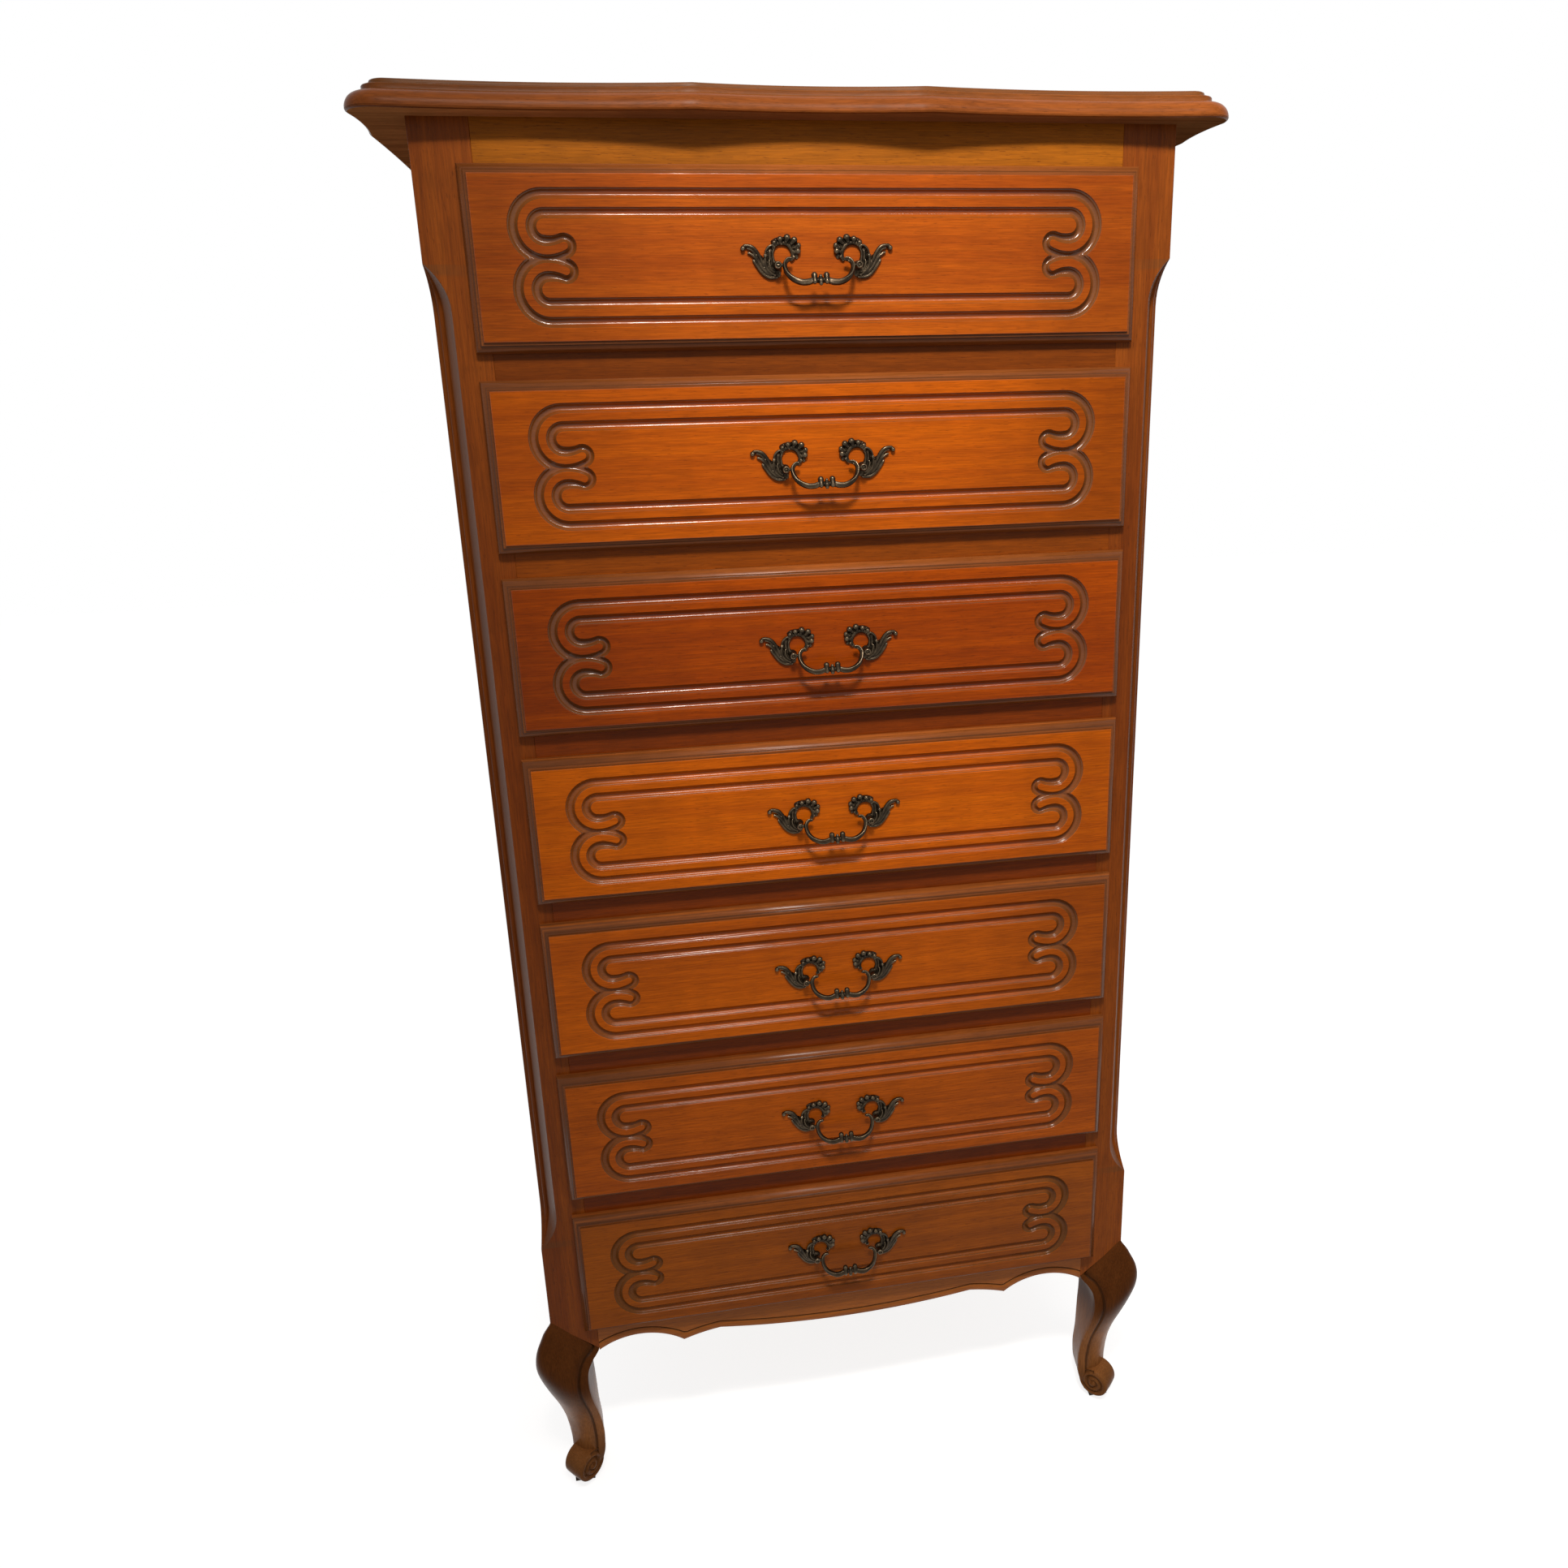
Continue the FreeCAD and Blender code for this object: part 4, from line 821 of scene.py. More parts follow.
# Stations down the leg. Crest: outward from the post's corner, and height. Ridge where the front band
# meets the knee, inner front edge: across and back from the carcass face, and height. Inner corner: how
# far in it is both ways.
LEG_STATIONS = (
    ((-0.5, 213.0), (262.6, 0.5, 177.0), (255.8, 0.5, 175.0), 43.6),
    ((0.1, 209.8), (262.0, 0.0, 173.2), (255.2, 0.0, 171.0), 44.0),
    ((4.6, 204.5), (265.6, -3.8, 171.0), (258.2, -2.0, 166.5), 42.0),
    ((9.5, 197.5), (271.0, -8.0, 168.0), (261.6, -5.2, 163.2), 39.0),
    ((16.2, 187.0), (275.8, -13.6, 160.5), (265.8, -9.6, 156.5), 35.5),
    ((18.8, 175.0), (278.0, -17.4, 150.5), (267.4, -12.2, 147.5), 33.6),
    ((17.6, 161.0), (278.6, -18.8, 140.0), (267.2, -13.6, 138.0), 33.2),
    ((12.6, 144.0), (277.2, -16.8, 128.0), (266.2, -12.2, 126.5), 33.4),
    ((5.0, 124.0), (274.8, -12.4, 113.8), (264.8, -8.4, 113.0), 34.0),
    ((-5.0, 100.0), (271.8, -6.0, 95.5), (262.6, -1.4, 95.0), 34.5),
    ((-11.6, 79.5), (270.4, -0.5, 77.5), (260.6, 4.2, 77.0), 35.0),
    ((-14.6, 64.0), (269.8, 2.2, 63.0), (259.8, 7.2, 62.5), 36.0),
    ((-15.6, 55.5), (269.6, 3.4, 55.0), (259.6, 8.6, 54.5), 36.5),
    ((-16.4, 44.0), (270.0, 4.6, 44.0), (260.0, 9.6, 44.0), 36.5),
    ((-16.0, 30.0), (270.6, 5.2, 30.0), (261.2, 10.0, 30.0), 35.5),
    ((-14.0, 14.0), (273.4, 5.6, 14.0), (266.0, 11.0, 14.0), 31.0),
    ((-14.5, 5.2), (275.6, 7.2, 5.2), (269.5, 12.0, 5.2), 28.0),
)
OUT = Vector((math.sqrt(0.5), -math.sqrt(0.5), 0))
ROUND = Vector((math.sqrt(0.5), math.sqrt(0.5), 0))
SCROLL_CENTRE = Vector((283.0, 8.5, 24.0))
SCROLL_RADIUS = 16.5
SCROLL_HALF = 13.0


def spline(points, steps):
    """Points on a smooth line through the given ones, evenly many between each two."""
    line = []
    for i in range(len(points) - 1):
        p0, p1, p2, p3 = (points[max(0, min(len(points) - 1, i + k))] for k in (-1, 0, 1, 2))
        for step in range(steps):
            t = step / steps
            line.append(0.5 * (2 * p1 + (p2 - p0) * t + (2 * p0 - 5 * p1 + 4 * p2 - p3) * t * t
                               + (3 * p1 - p0 - 3 * p2 + p3) * t * t * t))
    line.append(points[-1])
    return line


def across_diagonal(p):
    """The twin of a leg's point on the other side of its diagonal plane."""
    return Vector((HALF_BODY - p.y, HALF_BODY - p.x, p.z))


# A leg's flat inside, as shares of the way from its edge to its inner corner, and its grooved band:
# share of the way from the edge to the ridge, and depth.
INSIDE_SHARES = (0.12, 0.04)
BAND_SECTION = ((0.03, 0.0), (0.13, 0.0), (0.38, -0.3), (0.6, 0.0), (0.74, 0.7), (0.84, 1.9), (0.95, 2.3))


def leg_section(crest, ridge, edge, inner, fullness):
    """Closed section of a front leg: flat inside, a band with a groove on each front edge, a full knee."""
    middle = (edge + inner) / 2 + (crest - inner) * 0.012
    inward = (inner - ridge).normalized()
    band = ridge - edge
    half = [inner, edge.lerp(inner, 0.72), middle] + [edge.lerp(inner, share) for share in INSIDE_SHARES]
    half += [edge + band * share + inward * depth for share, depth in BAND_SECTION]
    toward_crest = (crest - ridge).normalized()
    half.append(ridge + toward_crest * 0.5 + inward * 0.6)
    start = ridge + toward_crest * 1.5
    handle_ridge = start.lerp(crest, 0.35) + OUT * 4.0 * fullness
    handle_crest = crest - ROUND * 9.0 * fullness
    half += interpolate_bezier(start, handle_ridge, handle_crest, crest, 11)[1:]
    twin = [across_diagonal(p) for p in half[1:-1]]
    return half + twin[::-1]


def leg_rings():
    stations = []
    for (out, height), ridge, edge, inner in LEG_STATIONS:
        crest = Vector((HALF_BODY, 0, height)) + OUT * out
        stations.append((crest, Vector(ridge), Vector(edge), Vector((HALF_BODY - inner, inner, edge[2]))))
    lines = [spline(stops, 4) for stops in zip(*stations)]
    return [leg_section(*points, min(1.0, i / 10)) for i, points in enumerate(zip(*lines))]


# Relief of a scroll's end, from its eye out: share of its radius, and height over the plane of its end.
SCROLL_RELIEF = (
    (0.0, 1.9), (0.1, 1.8), (0.17, 1.5), (0.23, 1.0), (0.29, 0.6), (0.35, 0.4), (0.41, 0.3), (0.47, 0.25),
    (0.53, 0.2), (0.59, 0.2), (0.65, 0.15), (0.71, 0.1), (0.77, 0.05), (0.83, 0.0), (0.89, -0.2),
    (0.94, -0.6), (0.98, -1.4), (1.0, -3.0), (1.02, -SCROLL_HALF),
)
SCROLL_SEGMENTS = 56
# The spiral cut in it: shares of the radius, but for its depth.
SPIRAL_PITCH = 0.36
SPIRAL_EYE = 0.24
SPIRAL_INSET = 0.12
SPIRAL_WIDTH = 0.095
SPIRAL_DEPTH = 2.6


def spiral_groove(share, winding):
    """Depth of the spiral at a share of the radius and at a share of a turn."""
    turns = [1.0 - SPIRAL_PITCH * (winding + turn) for turn in range(3)]
    return sum(SPIRAL_DEPTH * math.exp(-((share - spiral + SPIRAL_INSET) / SPIRAL_WIDTH) ** 2)
               for spiral in turns if spiral > SPIRAL_EYE)


def scroll_rings(centre, axis, face):
    """Rings of one end of a scroll, from its eye to its middle."""
    upward = Vector((0, 0, 1))
    across = axis.cross(upward)
    rings = []
    for share, height in SCROLL_RELIEF:
        ring = []
        for k in range(SCROLL_SEGMENTS):
            winding = k / SCROLL_SEGMENTS
            groove = spiral_groove(share, winding) if height > -1.0 else 0.0
            turn = direction_at(2 * math.pi * winding)
            outward = (upward * turn.x + across * turn.y) * SCROLL_RADIUS * max(share, 0.001)
            ring.append(centre + axis * face * (SCROLL_HALF + height - groove) + outward)
        rings.append(ring)
    return rings


def volute(centre, axis):
    """A scroll with a spiral in both its ends, as vertices and faces."""
    return lofted(scroll_rings(centre, axis, 1) + scroll_rings(centre, axis, -1)[-2::-1])


def union(shells):
    """One closed mesh from two overlapping closed shells."""
    base, other = [shell_object(vertices, faces, weld=2e-6) for vertices, faces in shells]
    tune(base.modifiers.new("join", "BOOLEAN"), operation="UNION", solver="EXACT", object=other)
    mesh = modified_mesh(base)
    bpy.data.objects.remove(other)
    return mesh


def flip_to(sign, vertices):
    """Build-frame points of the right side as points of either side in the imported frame."""
    return [(sign * v[0], v[1] + CARCASS_FACE, v[2]) for v in vertices]


def add_leg(node, sign, shaft, scroll, stain_and_shade):
    """The leg that stands for a node, from its shaft and scroll as built on the right side."""
    mesh = union([(flip_to(sign, vertices), faces) for vertices, faces in (shaft, scroll)])
    finished(node + "_carved", mesh, LEG_WOOD, "carcass", [node], sharp=38.0)
    paint(mesh, "stain_and_shade", stain_and_shade)


DARK_FOOT = 60.0


def darker_toward_foot(p):
    """Darker toward the foot."""
    return max(0.0, min(0.5, 1.0 - p.z / DARK_FOOT))


# The last point of the band in a leg's section lies at the bottom of its groove.
GROOVE_POINT = 2 + len(INSIDE_SHARES) + len(BAND_SECTION)


def groove_tree(rings, sign):
    """The bottoms of a front leg's two grooves, for finding what lies near them."""
    lines = [[ring[index] for ring in rings] for index in (GROOVE_POINT, -GROOVE_POINT)]
    points = [a.lerp(b, i / 4) for line in lines for a, b in zip(line, line[1:]) for i in range(4)]
    tree = KDTree(len(points))
    for i, point in enumerate(flip_to(sign, points)):
        tree.insert(point, i)
    tree.balance()
    return tree


def scroll_hollow(p, sign):
    """Share of painted shade in the spiral of a front foot's scroll."""
    offset = Vector((sign * p.x, p.y - CARCASS_FACE, p.z)) - SCROLL_CENTRE
    depth = SCROLL_HALF - abs(offset.dot(ROUND))
    from_axis = (offset - ROUND * offset.dot(ROUND)).length
    return max(0.0, min(1.0, depth / 1.4)) if from_axis < SCROLL_RADIUS * 0.95 and depth < 3.0 else 0.0


def make_front_leg(side, sign):
    rings = leg_rings()
    grooves = groove_tree(rings, sign)

    # Painted shade in the grooves and in the spiral of the scroll; darker toward the foot.
    def stain_and_shade(p):
        in_groove = max(0.0, min(0.8, 1.6 - grooves.find(p)[2] / 1.5))
        return max(darker_toward_foot(p), in_groove, 0.7 * scroll_hollow(p, sign))

    add_leg("leg_front_" + side, sign, lofted(rings), volute(SCROLL_CENTRE, -ROUND), stain_and_shade)


for side, sign in SIDES.items():
    make_front_leg(side, sign)

# ---------------------------------------------------------------- rear legs

# Stations: height, outer face, inner face, depth from the flat back.
REAR_STATIONS = (
    (210.0, 300.0, 262.0, 45.0),
    (196.0, 306.5, 258.5, 45.0),
    (180.0, 314.0, 256.0, 45.0),
    (165.0, 320.0, 255.5, 44.5),
    (150.0, 322.0, 257.0, 43.5),
    (135.0, 319.0, 259.5, 42.0),
    (118.0, 312.5, 262.0, 40.0),
    (98.0, 305.0, 263.5, 37.0),
    (78.0, 300.5, 263.5, 34.0),
    (58.0, 298.5, 264.0, 32.0),
    (40.0, 297.0, 264.5, 31.0),
    (24.0, 296.0, 265.5, 30.0),
    (12.0, 296.0, 268.0, 29.0),
    (5.2, 296.0, 271.0, 28.0),
)
REAR_CORNERS = ((9.0, 0), (2.0, 1), (1.0, 2), (2.5, 3))
REAR_SCROLL = Vector((287.0, BODY_REAR - CARCASS_FACE - SCROLL_HALF - 1.6, 24.0))
# The seam with the post rises outward from here, and the knee under it widens outward by a share.
SEAM_INNER = HALF_BODY - 38.0
REAR_KNEE_SPREAD = 0.32


def rear_section(z, outer, inner, depth):
    """Rectangle with the outer front corner well rounded."""
    front, rear = BODY_REAR - CARCASS_FACE - depth, BODY_REAR - CARCASS_FACE
    corners = [(outer, front), (outer, rear), (inner, rear), (inner, front)]
    ring = []
    for radius, index in REAR_CORNERS:
        x, y = corners[index]
        inward_x = -1 if x == outer else 1
        inward_y = 1 if y == front else -1
        for i in range(7):
            angle = math.pi / 2 * i / 6
            a, b = math.sin(angle), math.cos(angle)
            if index % 2:
                a, b = b, a
            ring.append(Vector((x + inward_x * radius * (1 - a), y + inward_y * radius * (1 - b), z)))
    return ring


def make_rear_leg(side, sign):
    rings = [rear_section(*station) for station in spline([Vector(s) for s in REAR_STATIONS], 4)]
    first = [Vector((p.x, p.y, SEAM_LOW + max(0.0, (p.x - SEAM_INNER) * SEAM_SLOPE))) for p in rings[0]]
    second = []
    for p, start in zip(rear_section(*REAR_STATIONS[1]), first):
        spread = max(0.0, p.x - SEAM_INNER) * REAR_KNEE_SPREAD
        second.append(Vector((p.x + spread, p.y, max(SEAM_LOW - 3.0, start.z - 16.0))))
    rings = [first, second] + [ring for ring in rings if ring[0].z < SEAM_LOW - 1]
    add_leg("leg_rear_" + side, sign, lofted(rings), volute(REAR_SCROLL, Vector((0, -1, 0))), darker_toward_foot)


for side, sign in SIDES.items():
    make_rear_leg(side, sign)

# ---------------------------------------------------------------- top

# Edge of the top, from its underside up: inset, and height. A round, and two steps over it.
TOP_FOOT = ((3.4, 0.0), (1.6, 0.35), (0.5, 1.1), (0.0, 2.2))
TOP_ROUND = (10.4, 11.6)
TOP_STEPS = (
    (10.5, 14.3), (11.4, 14.5), (11.8, 14.9), (12.1, 15.9), (12.2, 17.9), (12.6, 18.5), (13.3, 18.8),
    (16.2, 18.9), (16.8, 19.1), (17.1, 19.6), (17.3, 21.4), (17.7, 22.3), (18.5, 22.8), (19.8, 23.0),
)
SECOND_STEP = 7
TOP_FRONT_OVERHANG = 28.0
TOP_WAVE = 6.5
TOP_SIDE_WAVE = 3.0
TOP_CUSP = 90.0
TOP_SIDE_CUSP = 100.0
TOP_CORNER = 22.0


def top_outline(inset):
    """Serpentine outline of the top moved in by inset, going round from the left cusp of the front."""
    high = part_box("top")[1]
    half = high.x / MM - inset
    front = CARCASS_FACE - TOP_FRONT_OVERHANG + inset
    rear = high.y / MM - min(inset, 1.2)
    corner = TOP_CORNER - inset * 0.6
    corner_y = front + TOP_WAVE / 4 + corner
    cusp_y = CARCASS_FACE - TOP_FRONT_OVERHANG + TOP_SIDE_CUSP
    bulge = corner * (1 - math.sqrt(0.5))
    right = [((TOP_CUSP, front), -TOP_WAVE, 24), ((half - corner, corner_y - corner), bulge, 12),
             ((half, corner_y), -TOP_SIDE_WAVE, 14), ((half, cusp_y), -TOP_SIDE_WAVE, 24),
             ((half, rear), 0, 1)]
    left = [((-half, rear), -TOP_SIDE_WAVE, 24), ((-half, cusp_y), -TOP_SIDE_WAVE, 14),
            ((-half, corner_y), bulge, 12), ((-half + corner, corner_y - corner), -TOP_WAVE, 24)]
    stops = [((-TOP_CUSP, front), -TOP_WAVE, 24)] + right + left
    outline = []
    for i, (start, rise, steps) in enumerate(stops):
        outline += arc_points(start, stops[(i + 1) % len(stops)][0], rise, steps)
    return outline


def make_top():
    profile = list(TOP_FOOT)
    width, height = TOP_ROUND
    for angle in range(8, 85, 8):
        turn = math.radians(angle)
        profile.append((width * (1 - math.cos(turn)), TOP_FOOT[-1][1] + height * math.sin(turn)))
    profile += TOP_STEPS
    levels = [(inset, CARCASS_TOP + rise) for inset, rise in profile]
    rings = [[(p.x, p.y, z) for p in top_outline(inset)] for inset, z in levels]
    mesh = mesh_of("top", *lofted(rings))
    finished("top_moulded", mesh, TOP_WOOD, "carcass", ["top"], sharp=24.0)
    other_finish(mesh, TOP_UNDERSIDE, lambda f: f.normal.z < -0.9)
    first_step, second_step, table = (CARCASS_TOP + TOP_STEPS[i][1] for i in (0, SECOND_STEP, -1))

    # Painted shade on the two steps over the round, the upper step darker.
    def stain_and_shade(p):
        if p.z < first_step - 0.1 or p.z > table - 0.1:
            return 0.0
        return 0.3 if p.z < second_step - 0.05 else 0.55

    paint(mesh, "stain_and_shade", stain_and_shade)


make_top()

# ---------------------------------------------------------------- pulls

HALF_PULL = 32.0
PIVOT_OFF = 9.0
PIVOT_IN_FRONT = 60.75
BAIL_LEAN = math.radians(30.0)
# Head and foot of a post: radius and distance off the front, from the dimple in its tip.
KNOB_PROFILE = ((0.01, 9.7), (1.0, 9.7), (1.25, 10.8), (1.9, 11.3), (2.5, 11.1), (2.95, 10.3), (3.05, 9.2),
                (2.9, 7.6), (2.5, 6.2), (2.3, 4.6), (3.0, 3.4), (3.7, 2.4), (4.0, 0.5), (0.01, 0.5))
PIN_RADIUS = 1.2
PIN_END = 2.0
CAST_VOXEL = 0.34

# Cast relief of the right plate as strokes from its pivot: (across, up, half width) with the height of
# the stroke's middle line and its fullness off the plate. First the web that joins them.
PLATE_STROKES = (
    (0.0, 0.5, ((0.0, -5.4, 3.2), (4.0, -5.0, 4.0), (8.0, -2.6, 4.4), (10.6, 1.8, 3.6), (12.8, 6.0, 2.4))),
    (0.0, 0.5, ((3.6, 1.6, 3.2), (5.4, 7.0, 3.0), (5.0, 11.2, 2.6))),
    # leaf that ends in the outer curl
    (1.7, 1.25, ((5.4, -3.8, 1.2), (9.2, -0.6, 1.4), (11.8, 3.6, 1.4), (13.6, 7.4, 1.4), (15.8, 11.0, 1.4),
                (18.6, 13.8, 1.4), (22.0, 14.9, 1.3), (25.0, 14.9, 1.2))),
    (1.2, 1.25, ((14.2, 5.0, 0.7), (16.8, 9.0, 0.8), (19.8, 11.9, 0.8), (22.8, 13.0, 0.7))),
    (1.6, 1.25, ((26.1, 13.1, 2.0), (26.3, 12.8, 2.0))),
    (1.3, 1.25, ((3.2, -6.2, 1.1), (7.6, -5.0, 1.3), (11.4, -1.6, 1.3), (14.0, 2.4, 1.2), (16.8, 6.2, 1.2),
                (20.0, 8.9, 1.1), (22.0, 9.7, 0.9))),
    (1.0, 1.25, ((0.6, -8.2, 1.1), (5.4, -8.5, 1.3), (9.8, -6.6, 1.3), (13.2, -3.2, 1.3), (15.6, 0.2, 1.3),
                (17.6, 3.2, 1.2), (18.4, 4.4, 0.9))),
    # leaf beside the pivot
    (1.8, 1.25, ((2.2, -6.4, 1.2), (6.2, -3.8, 1.5), (8.8, 0.0, 1.5), (9.4, 4.0, 1.4), (9.0, 7.2, 1.2))),
    (2.4, 1.25, ((9.0, 7.4, 1.5), (9.0, 7.7, 1.5))),
    (2.0, 1.25, ((2.6, -4.2, 0.9), (5.0, -1.6, 1.0), (6.2, 1.8, 0.9), (6.0, 4.4, 0.6))),
    (1.0, 1.25, ((5.0, 4.0, 0.8), (5.8, 7.6, 0.8), (5.4, 11.0, 0.5))),
    (2.0, 1.25, ((9.0, 8.0, 0.9), (8.4, 11.2, 0.9), (6.4, 13.8, 1.0), (3.8, 15.0, 1.0), (1.6, 13.9, 0.9))),
    (1.5, 1.25, ((1.7, 13.4, 0.9), (3.0, 10.4, 0.9), (3.1, 7.0, 1.0), (2.4, 3.0, 1.2))),
    # end of the ring, and the seat of the knob
    (1.3, 1.25, ((-13.4, 6.6, 1.4), (-12.2, 5.2, 1.3), (-10.8, 5.2, 1.0))),
    (0.9, 0.7, ((0.0, 0.0, 4.0), (0.2, 0.1, 4.0))),
)
RING_CENTRE = (-4.1, 8.3)
# Ridges of the ring round its centre: radius, half width, height, first and last angle.
RING_RIDGES = ((8.4, 1.55, 1.2, 38, 205), (11.5, 1.8, 0.0, 55, 188))
# Beads of the shell on the ring: across, up and radius.
SHELL_BEADS = ((1.6, 16.9, 2.1), (-2.9, 19.3, 2.6), (-8.5, 20.5, 2.9), (-14.0, 18.8, 2.7),
               (-17.2, 14.9, 2.2), (-16.5, 10.7, 2.6))
BEAD_LIFT = 1.8
# Half of the swinging handle from its pivot, in its own plane.
BAIL_STROKES = (
    (0.0, 1.1, ((-10.6, 4.8, 1.4), (-8.2, 4.5, 1.6), (-6.0, 2.4, 1.8), (-5.2, -0.8, 1.9), (-5.9, -5.2, 2.0),
                (-8.2, -9.8, 2.1), (-12.2, -13.3, 2.3), (-17.0, -15.3, 2.4), (-21.6, -15.3, 2.4),
                (-25.0, -14.2, 2.3), (-27.0, -12.9, 2.2))),
    (1.8, 1.0, ((-10.4, 5.2, 0.7), (-7.8, 4.9, 0.8), (-5.5, 2.6, 0.8), (-4.6, -0.6, 0.8), (-5.3, -5.0, 0.8),
                (-7.6, -9.3, 0.9), (-11.6, -12.6, 0.9), (-16.6, -14.5, 0.9), (-21.4, -14.5, 0.9),
                (-24.6, -13.4, 0.8))),
    (1.2, 1.0, ((-9.6, -12.6, 0.6), (-12.6, -14.9, 0.8), (-17.2, -17.0, 0.9), (-22.0, -17.0, 0.9),
                (-25.4, -15.8, 1.0))),
    (1.2, 1.1, ((-27.2, -15.6, 2.0), (-27.2, -12.8, 2.2), (-27.2, -10.2, 2.6))),
    (0.0, 1.0, ((-27.2, -13.8, 2.0), (-32.0, -14.0, 2.1))),
    (0.8, 1.0, ((-32.0, -12.6, 2.0), (-32.0, -15.0, 2.3), (-32.0, -17.0, 1.7))),
    (1.9, 1.0, ((-32.0, -11.2, 1.4), (-32.0, -11.4, 1.4))),
)


def ring_ridge(radius, half_width, first, last):
    """A stroke along an arc round the ring's centre."""
    line = [Vector(RING_CENTRE) + radius * direction_at(math.radians(first + (last - first) * i / 8))
            for i in range(9)]
    return [(point.x, point.y, half_width) for point in line]


def bead_stroke(u, v, radius):
    """A flute of the shell from the ring out to its bead."""
    root = Vector(RING_CENTRE).lerp(Vector((u, v)), 0.8)
    return [(root.x, root.y, radius * 0.6), (u, v, radius)]


TUBE_SIDES = 12
# Rounded end of a stroke: how far back of its last point, and size, as shares of its half width.
TUBE_END = ((-0.94, 0.34), (-0.7, 0.71), (-0.34, 0.94))


def tube(stroke, lift, fullness):
    """A rounded stroke with hemispherical ends: points across and up in a plane, w off it."""
    line = spline([Vector(p) for p in stroke], 3)
    rings = []
    for i, point in enumerate(line):
        along = (line[min(len(line) - 1, i + 1)] - line[max(0, i - 1)]).xy.normalized()
        side = Vector((-along.y, along.x))
        stops = [(0.0, 1.0)]
        if i == 0:
            stops = [*TUBE_END, *stops]
        if i == len(line) - 1:
            stops += [(-shift, size) for shift, size in reversed(TUBE_END)]
        for shift, size in stops:
            centre = point.xy + along * point.z * shift
            ring = []
            for k in range(TUBE_SIDES):
                turn = direction_at(2 * math.pi * k / TUBE_SIDES) * point.z * size
                flat = centre + side * turn.x
                ring.append((flat.x, flat.y, lift + fullness * turn.y))
            rings.append(ring)
    return lofted(rings)


def turned(profile, segments=28):
    """A solid of revolution about the w axis from (radius, w) pairs."""
    angles = [2 * math.pi * k / segments for k in range(segments)]
    return lofted([[(radius * math.cos(a), radius * math.sin(a), w) for a in angles]
                   for radius, w in profile])


def cast(shells, place):
    """Overlapping shells melted into one skin; place turns (across, up, off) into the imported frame."""
    melt = shell_object(*join(shells), weld=1e-7)
    tune(melt.modifiers.new("melt", "REMESH"), mode="VOXEL", voxel_size=CAST_VOXEL * MM)
    tune(melt.modifiers.new("relax", "SMOOTH"), factor=0.5, iterations=2)
    tune(melt.modifiers.new("thin", "DECIMATE"), ratio=0.5)
    skin = modified_mesh(melt)
    for vertex in skin.vertices:
        vertex.co = Vector(place(vertex.co / MM)) * MM
    return skin


def both_halves(shells):
    """Shells of the right half about its pivot, and their mirror image, about the middle of the pull."""
    right = [([(HALF_PULL + u, v, w) for u, v, w in vertices], faces) for vertices, faces in shells]
    left = [([(-u, v, w) for u, v, w in vertices], faces) for vertices, faces in right]
    return right + left


def plate_mesh():
    shells = [tube(stroke, lift, fullness) for lift, fullness, stroke in PLATE_STROKES]
    shells += [tube(ring_ridge(radius, half, first, last), lift, 0.9)
               for radius, half, lift, first, last in RING_RIDGES]
    shells += [tube(bead_stroke(*bead), BEAD_LIFT, 1.0) for bead in SHELL_BEADS]
    shells.append(turned(KNOB_PROFILE))
    return cast(both_halves(shells), lambda p: (p.x, FRONT_FACE - p.z, p.y))


def bail_mesh():
    shells = [tube(stroke, lift, fullness) for lift, fullness, stroke in BAIL_STROKES]
    pin = [[(u, PIN_RADIUS * math.cos(2 * math.pi * k / 16), PIN_RADIUS * math.sin(2 * math.pi * k / 16))
            for k in range(16)] for u in (-5.6, PIN_END)]
    shells.append(lofted(pin))
    pivot_y = FRONT_FACE - PIVOT_OFF
    down, off = math.cos(BAIL_LEAN), math.sin(BAIL_LEAN)
    return cast(both_halves(shells),
                lambda p: (p.x, pivot_y + p.y * off - p.z * down, p.y * down + p.z * off))


def make_pulls():
    """The cast plates, with the CAD's own studs and nuts behind the face of the front, and the bails."""
    plates, bail = plate_mesh(), bail_mesh()
    with worked(plates) as work:
        cut_flat(work, FRONT_FACE - CUT_GAP, keep_front=True)
    first_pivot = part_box("drawer_1_front")[0].z / MM + PIVOT_IN_FRONT
    pull = merged("pull", [plates, behind("drawer_1_pull", FRONT_FACE + CUT_GAP, first_pivot)])
    settle(pull, BRONZE, sharp=50.0)
    settle(bail, BRONZE, sharp=50.0)
    for number in DRAWERS:
        pivot = Vector((0, 0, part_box("drawer_%d_front" % number)[0].z + PIVOT_IN_FRONT * MM))
        add("pull_%d" % number, pull, "drawer_%d" % number, ["drawer_%d_pull" % number], pivot)
        add("bail_%d" % number, bail, "bail_%d" % number, ["drawer_%d_bail" % number], pivot)


make_pulls()

# ---------------------------------------------------------------- carried-over nodes

dress("front_rails", RAIL_WOOD)
dress("side_rails", SIDE_RAIL_WOOD)
dress("rear_rails", DRAWER_BACK_WOOD)
dress("drawer_runners", DRAWER_SIDE_WOOD)
dress("back_panel", PLYWOOD)
dress("foot_glides", FELT)
for side in SIDES:
    dress("side_panel_" + side, SIDE_WOOD)
    dress("post_rear_" + side, SIDE_WOOD)
for number in DRAWERS:
    dress("drawer_%d_sides" % number, DRAWER_SIDE_WOOD)
    dress("drawer_%d_back" % number, DRAWER_BACK_WOOD)
    dress("drawer_%d_bottom" % number, PLYWOOD)

# ---------------------------------------------------------------- floor, light, camera

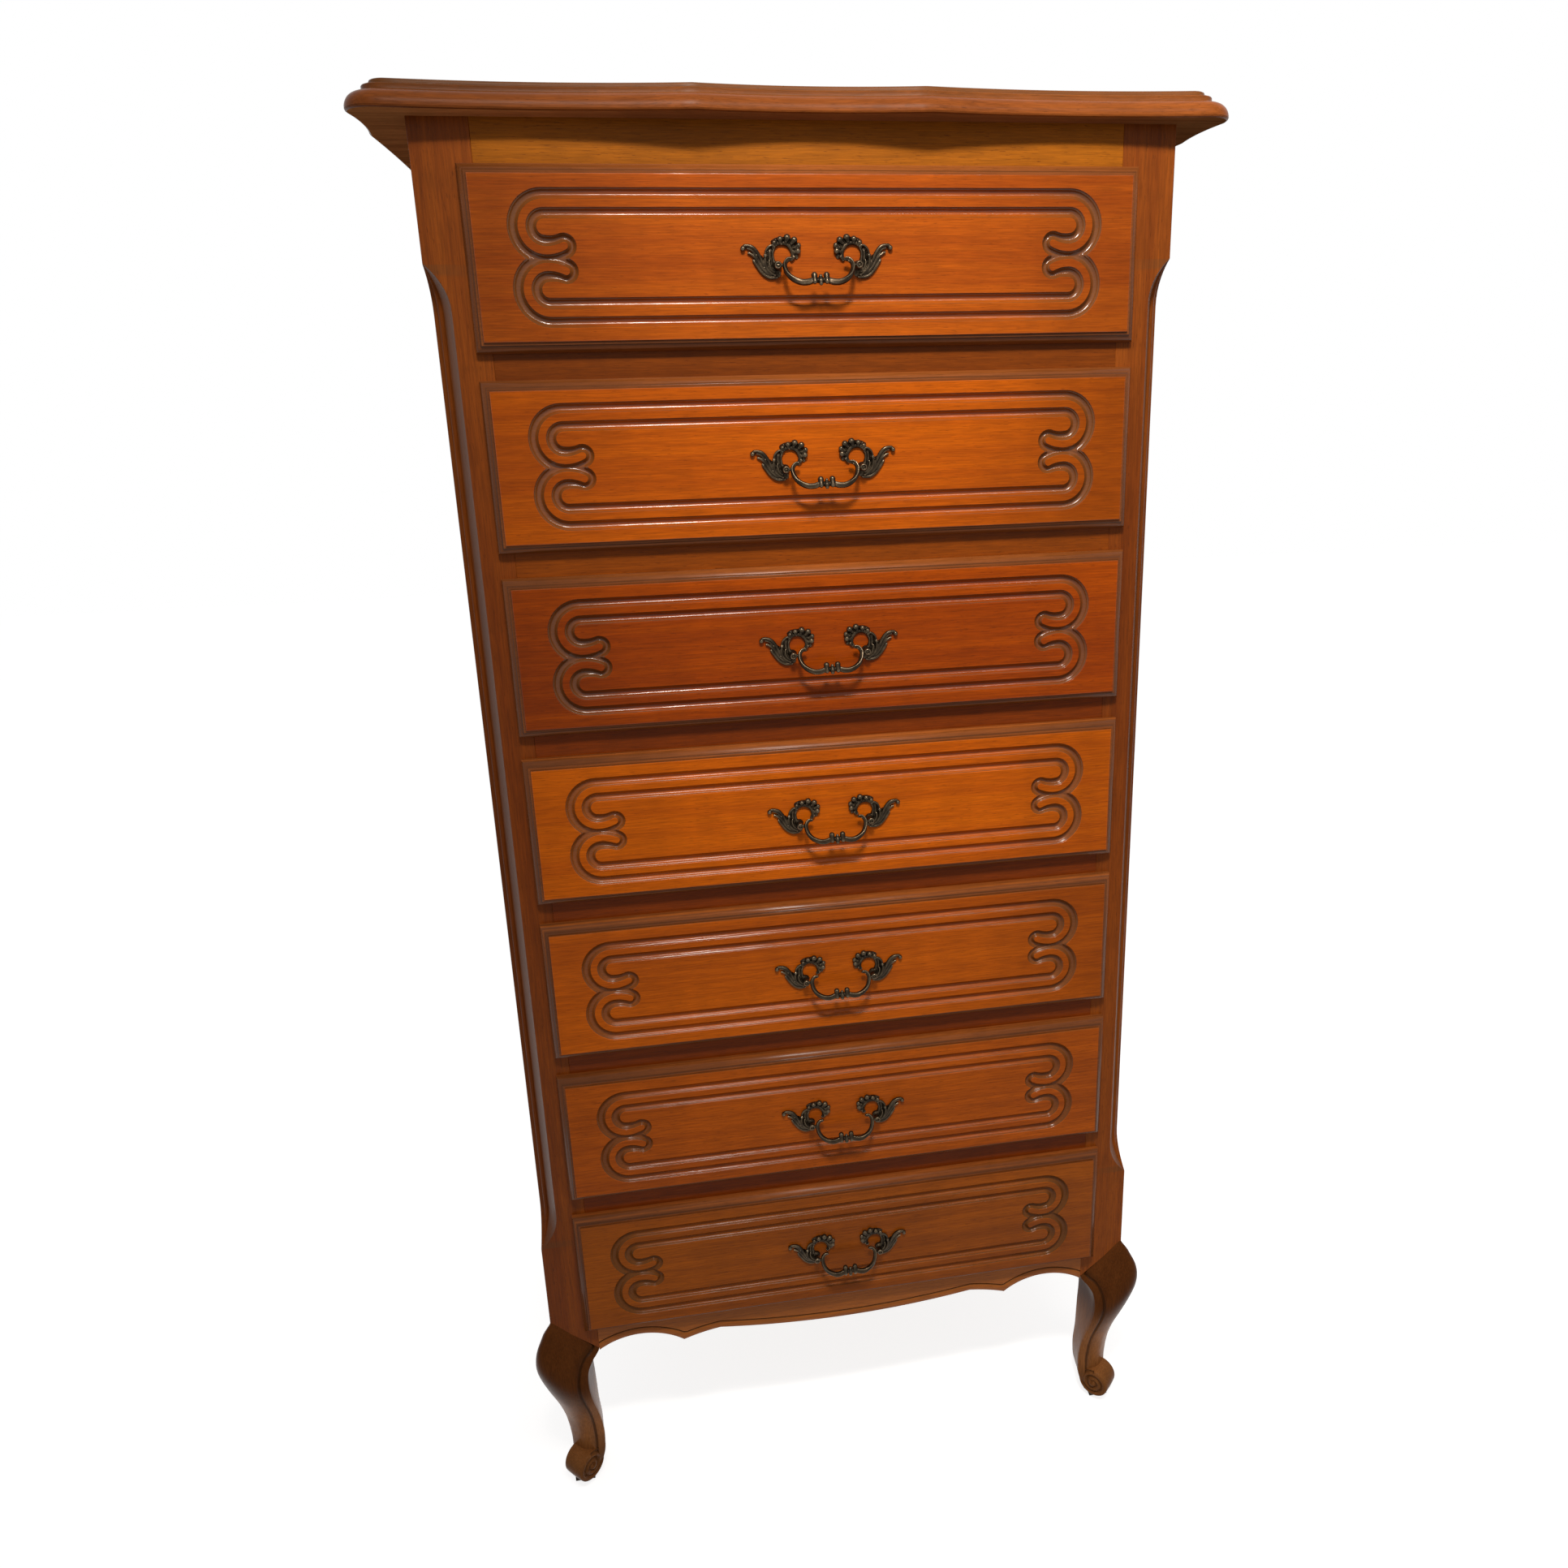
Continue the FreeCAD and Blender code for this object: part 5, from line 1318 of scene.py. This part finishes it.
PHOTO_SIZE = 1932.0
FOCAL_PIXELS = 1407.3
PRINCIPAL = (1048.3, 898.1)
EYE = (-0.13669, -1.13112, 1.09218)
YAW = 0.1596
PITCH = -0.28374
ROLL = -0.02569
SENSOR = 36.0
FILL = 0.32
FLOOR_TONE = 0.6
KEY_PLACE = (-0.10, -1.16, 2.14)
KEY_AIM = (0.30, -0.17, 1.10)
STRIP_PLACE = (0.20, -1.16, 2.10)
STRIP_AIM = (0.10, -0.17, 0.90)


def make_camera():
    forward = Vector((math.sin(YAW) * math.cos(PITCH), math.cos(YAW) * math.cos(PITCH), math.sin(PITCH)))
    level = Vector((math.cos(YAW), -math.sin(YAW), 0))
    upright = level.cross(forward)
    right = level * math.cos(ROLL) + upright * math.sin(ROLL)
    up = upright * math.cos(ROLL) - level * math.sin(ROLL)
    data = tune(bpy.data.cameras.new("camera"), sensor_width=SENSOR, lens=FOCAL_PIXELS * SENSOR / PHOTO_SIZE,
                shift_x=(PHOTO_SIZE / 2 - PRINCIPAL[0]) / PHOTO_SIZE,
                shift_y=(PRINCIPAL[1] - PHOTO_SIZE / 2) / PHOTO_SIZE, clip_start=0.01)
    camera = stand("camera", data)
    camera.matrix_world = Matrix.Translation(EYE) @ Matrix((right, up, -forward)).transposed().to_4x4()
    bpy.context.scene.camera = camera


def make_world():
    """Even light from all round, and white where it is seen."""
    world = bpy.data.worlds.new("studio")
    bpy.context.scene.world = world
    g = Graph(world)
    strength = g.node("MapRange", {"Value": g.seen_directly(), "To Min": FILL, "To Max": 1.0}).outputs[0]
    g.feed(g.tree.nodes["Background"], {"Color": (1, 1, 1), "Strength": strength})


def make_floor(half):
    """A pale floor, lifted to the white of the background for the eye, that keeps the object's shadow."""
    mesh = bpy.data.meshes.new("floor")
    corners = [(-half, -half, 0), (half, -half, 0), (half, half, 0), (-half, half, 0)]
    mesh.from_pydata(corners, [], [(0, 1, 2, 3)])
    g = Graph(bpy.data.materials.new("floor"))
    cloud = g.node("TexNoise", {"Scale": 3.0}).outputs["Fac"]
    tone = g.node("MapRange", {"Value": cloud, "To Min": FLOOR_TONE, "To Max": FLOOR_TONE + 0.02}).outputs[0]
    mesh.materials.append(g.surface({
        "Base Color": tone, "Roughness": 0.9, "Specular IOR Level": 0.0, "Emission Color": (1, 1, 1),
        "Emission Strength": g.math("MULTIPLY", g.seen_directly(), 1.0 - FILL * FLOOR_TONE)}))
    floor = stand("floor", mesh)


def make_lamp(name, kind, place, watts, colour, **settings):
    lamp = stand(name, tune(bpy.data.lights.new(name, kind), energy=watts, color=colour, **settings))
    lamp.location = place
    return lamp


def make_lamps():
    """A soft spot whose pool of light fades out to its rim, and a long lamp, level and parallel to the
    front, for the lines of light along the mouldings."""
    key = make_lamp("key", "SPOT", KEY_PLACE, 80.0, (1.0, 0.96, 0.9), spot_size=math.radians(61.4),
                    spot_blend=1.0, shadow_soft_size=0.12)
    key.rotation_euler = (Vector(KEY_AIM) - Vector(KEY_PLACE)).to_track_quat("-Z", "Y").to_euler()
    strip = make_lamp("strip", "AREA", STRIP_PLACE, 8.5, (1.0, 0.95, 0.88), shape="RECTANGLE", size=1.1,
                      size_y=0.07)
    strip.rotation_euler = (math.atan2(STRIP_AIM[1] - STRIP_PLACE[1], STRIP_PLACE[2] - STRIP_AIM[2]), 0, 0)


make_camera()
make_world()
make_floor(half=6.0)
make_lamps()
bpy.context.scene.view_settings.view_transform = "Standard"
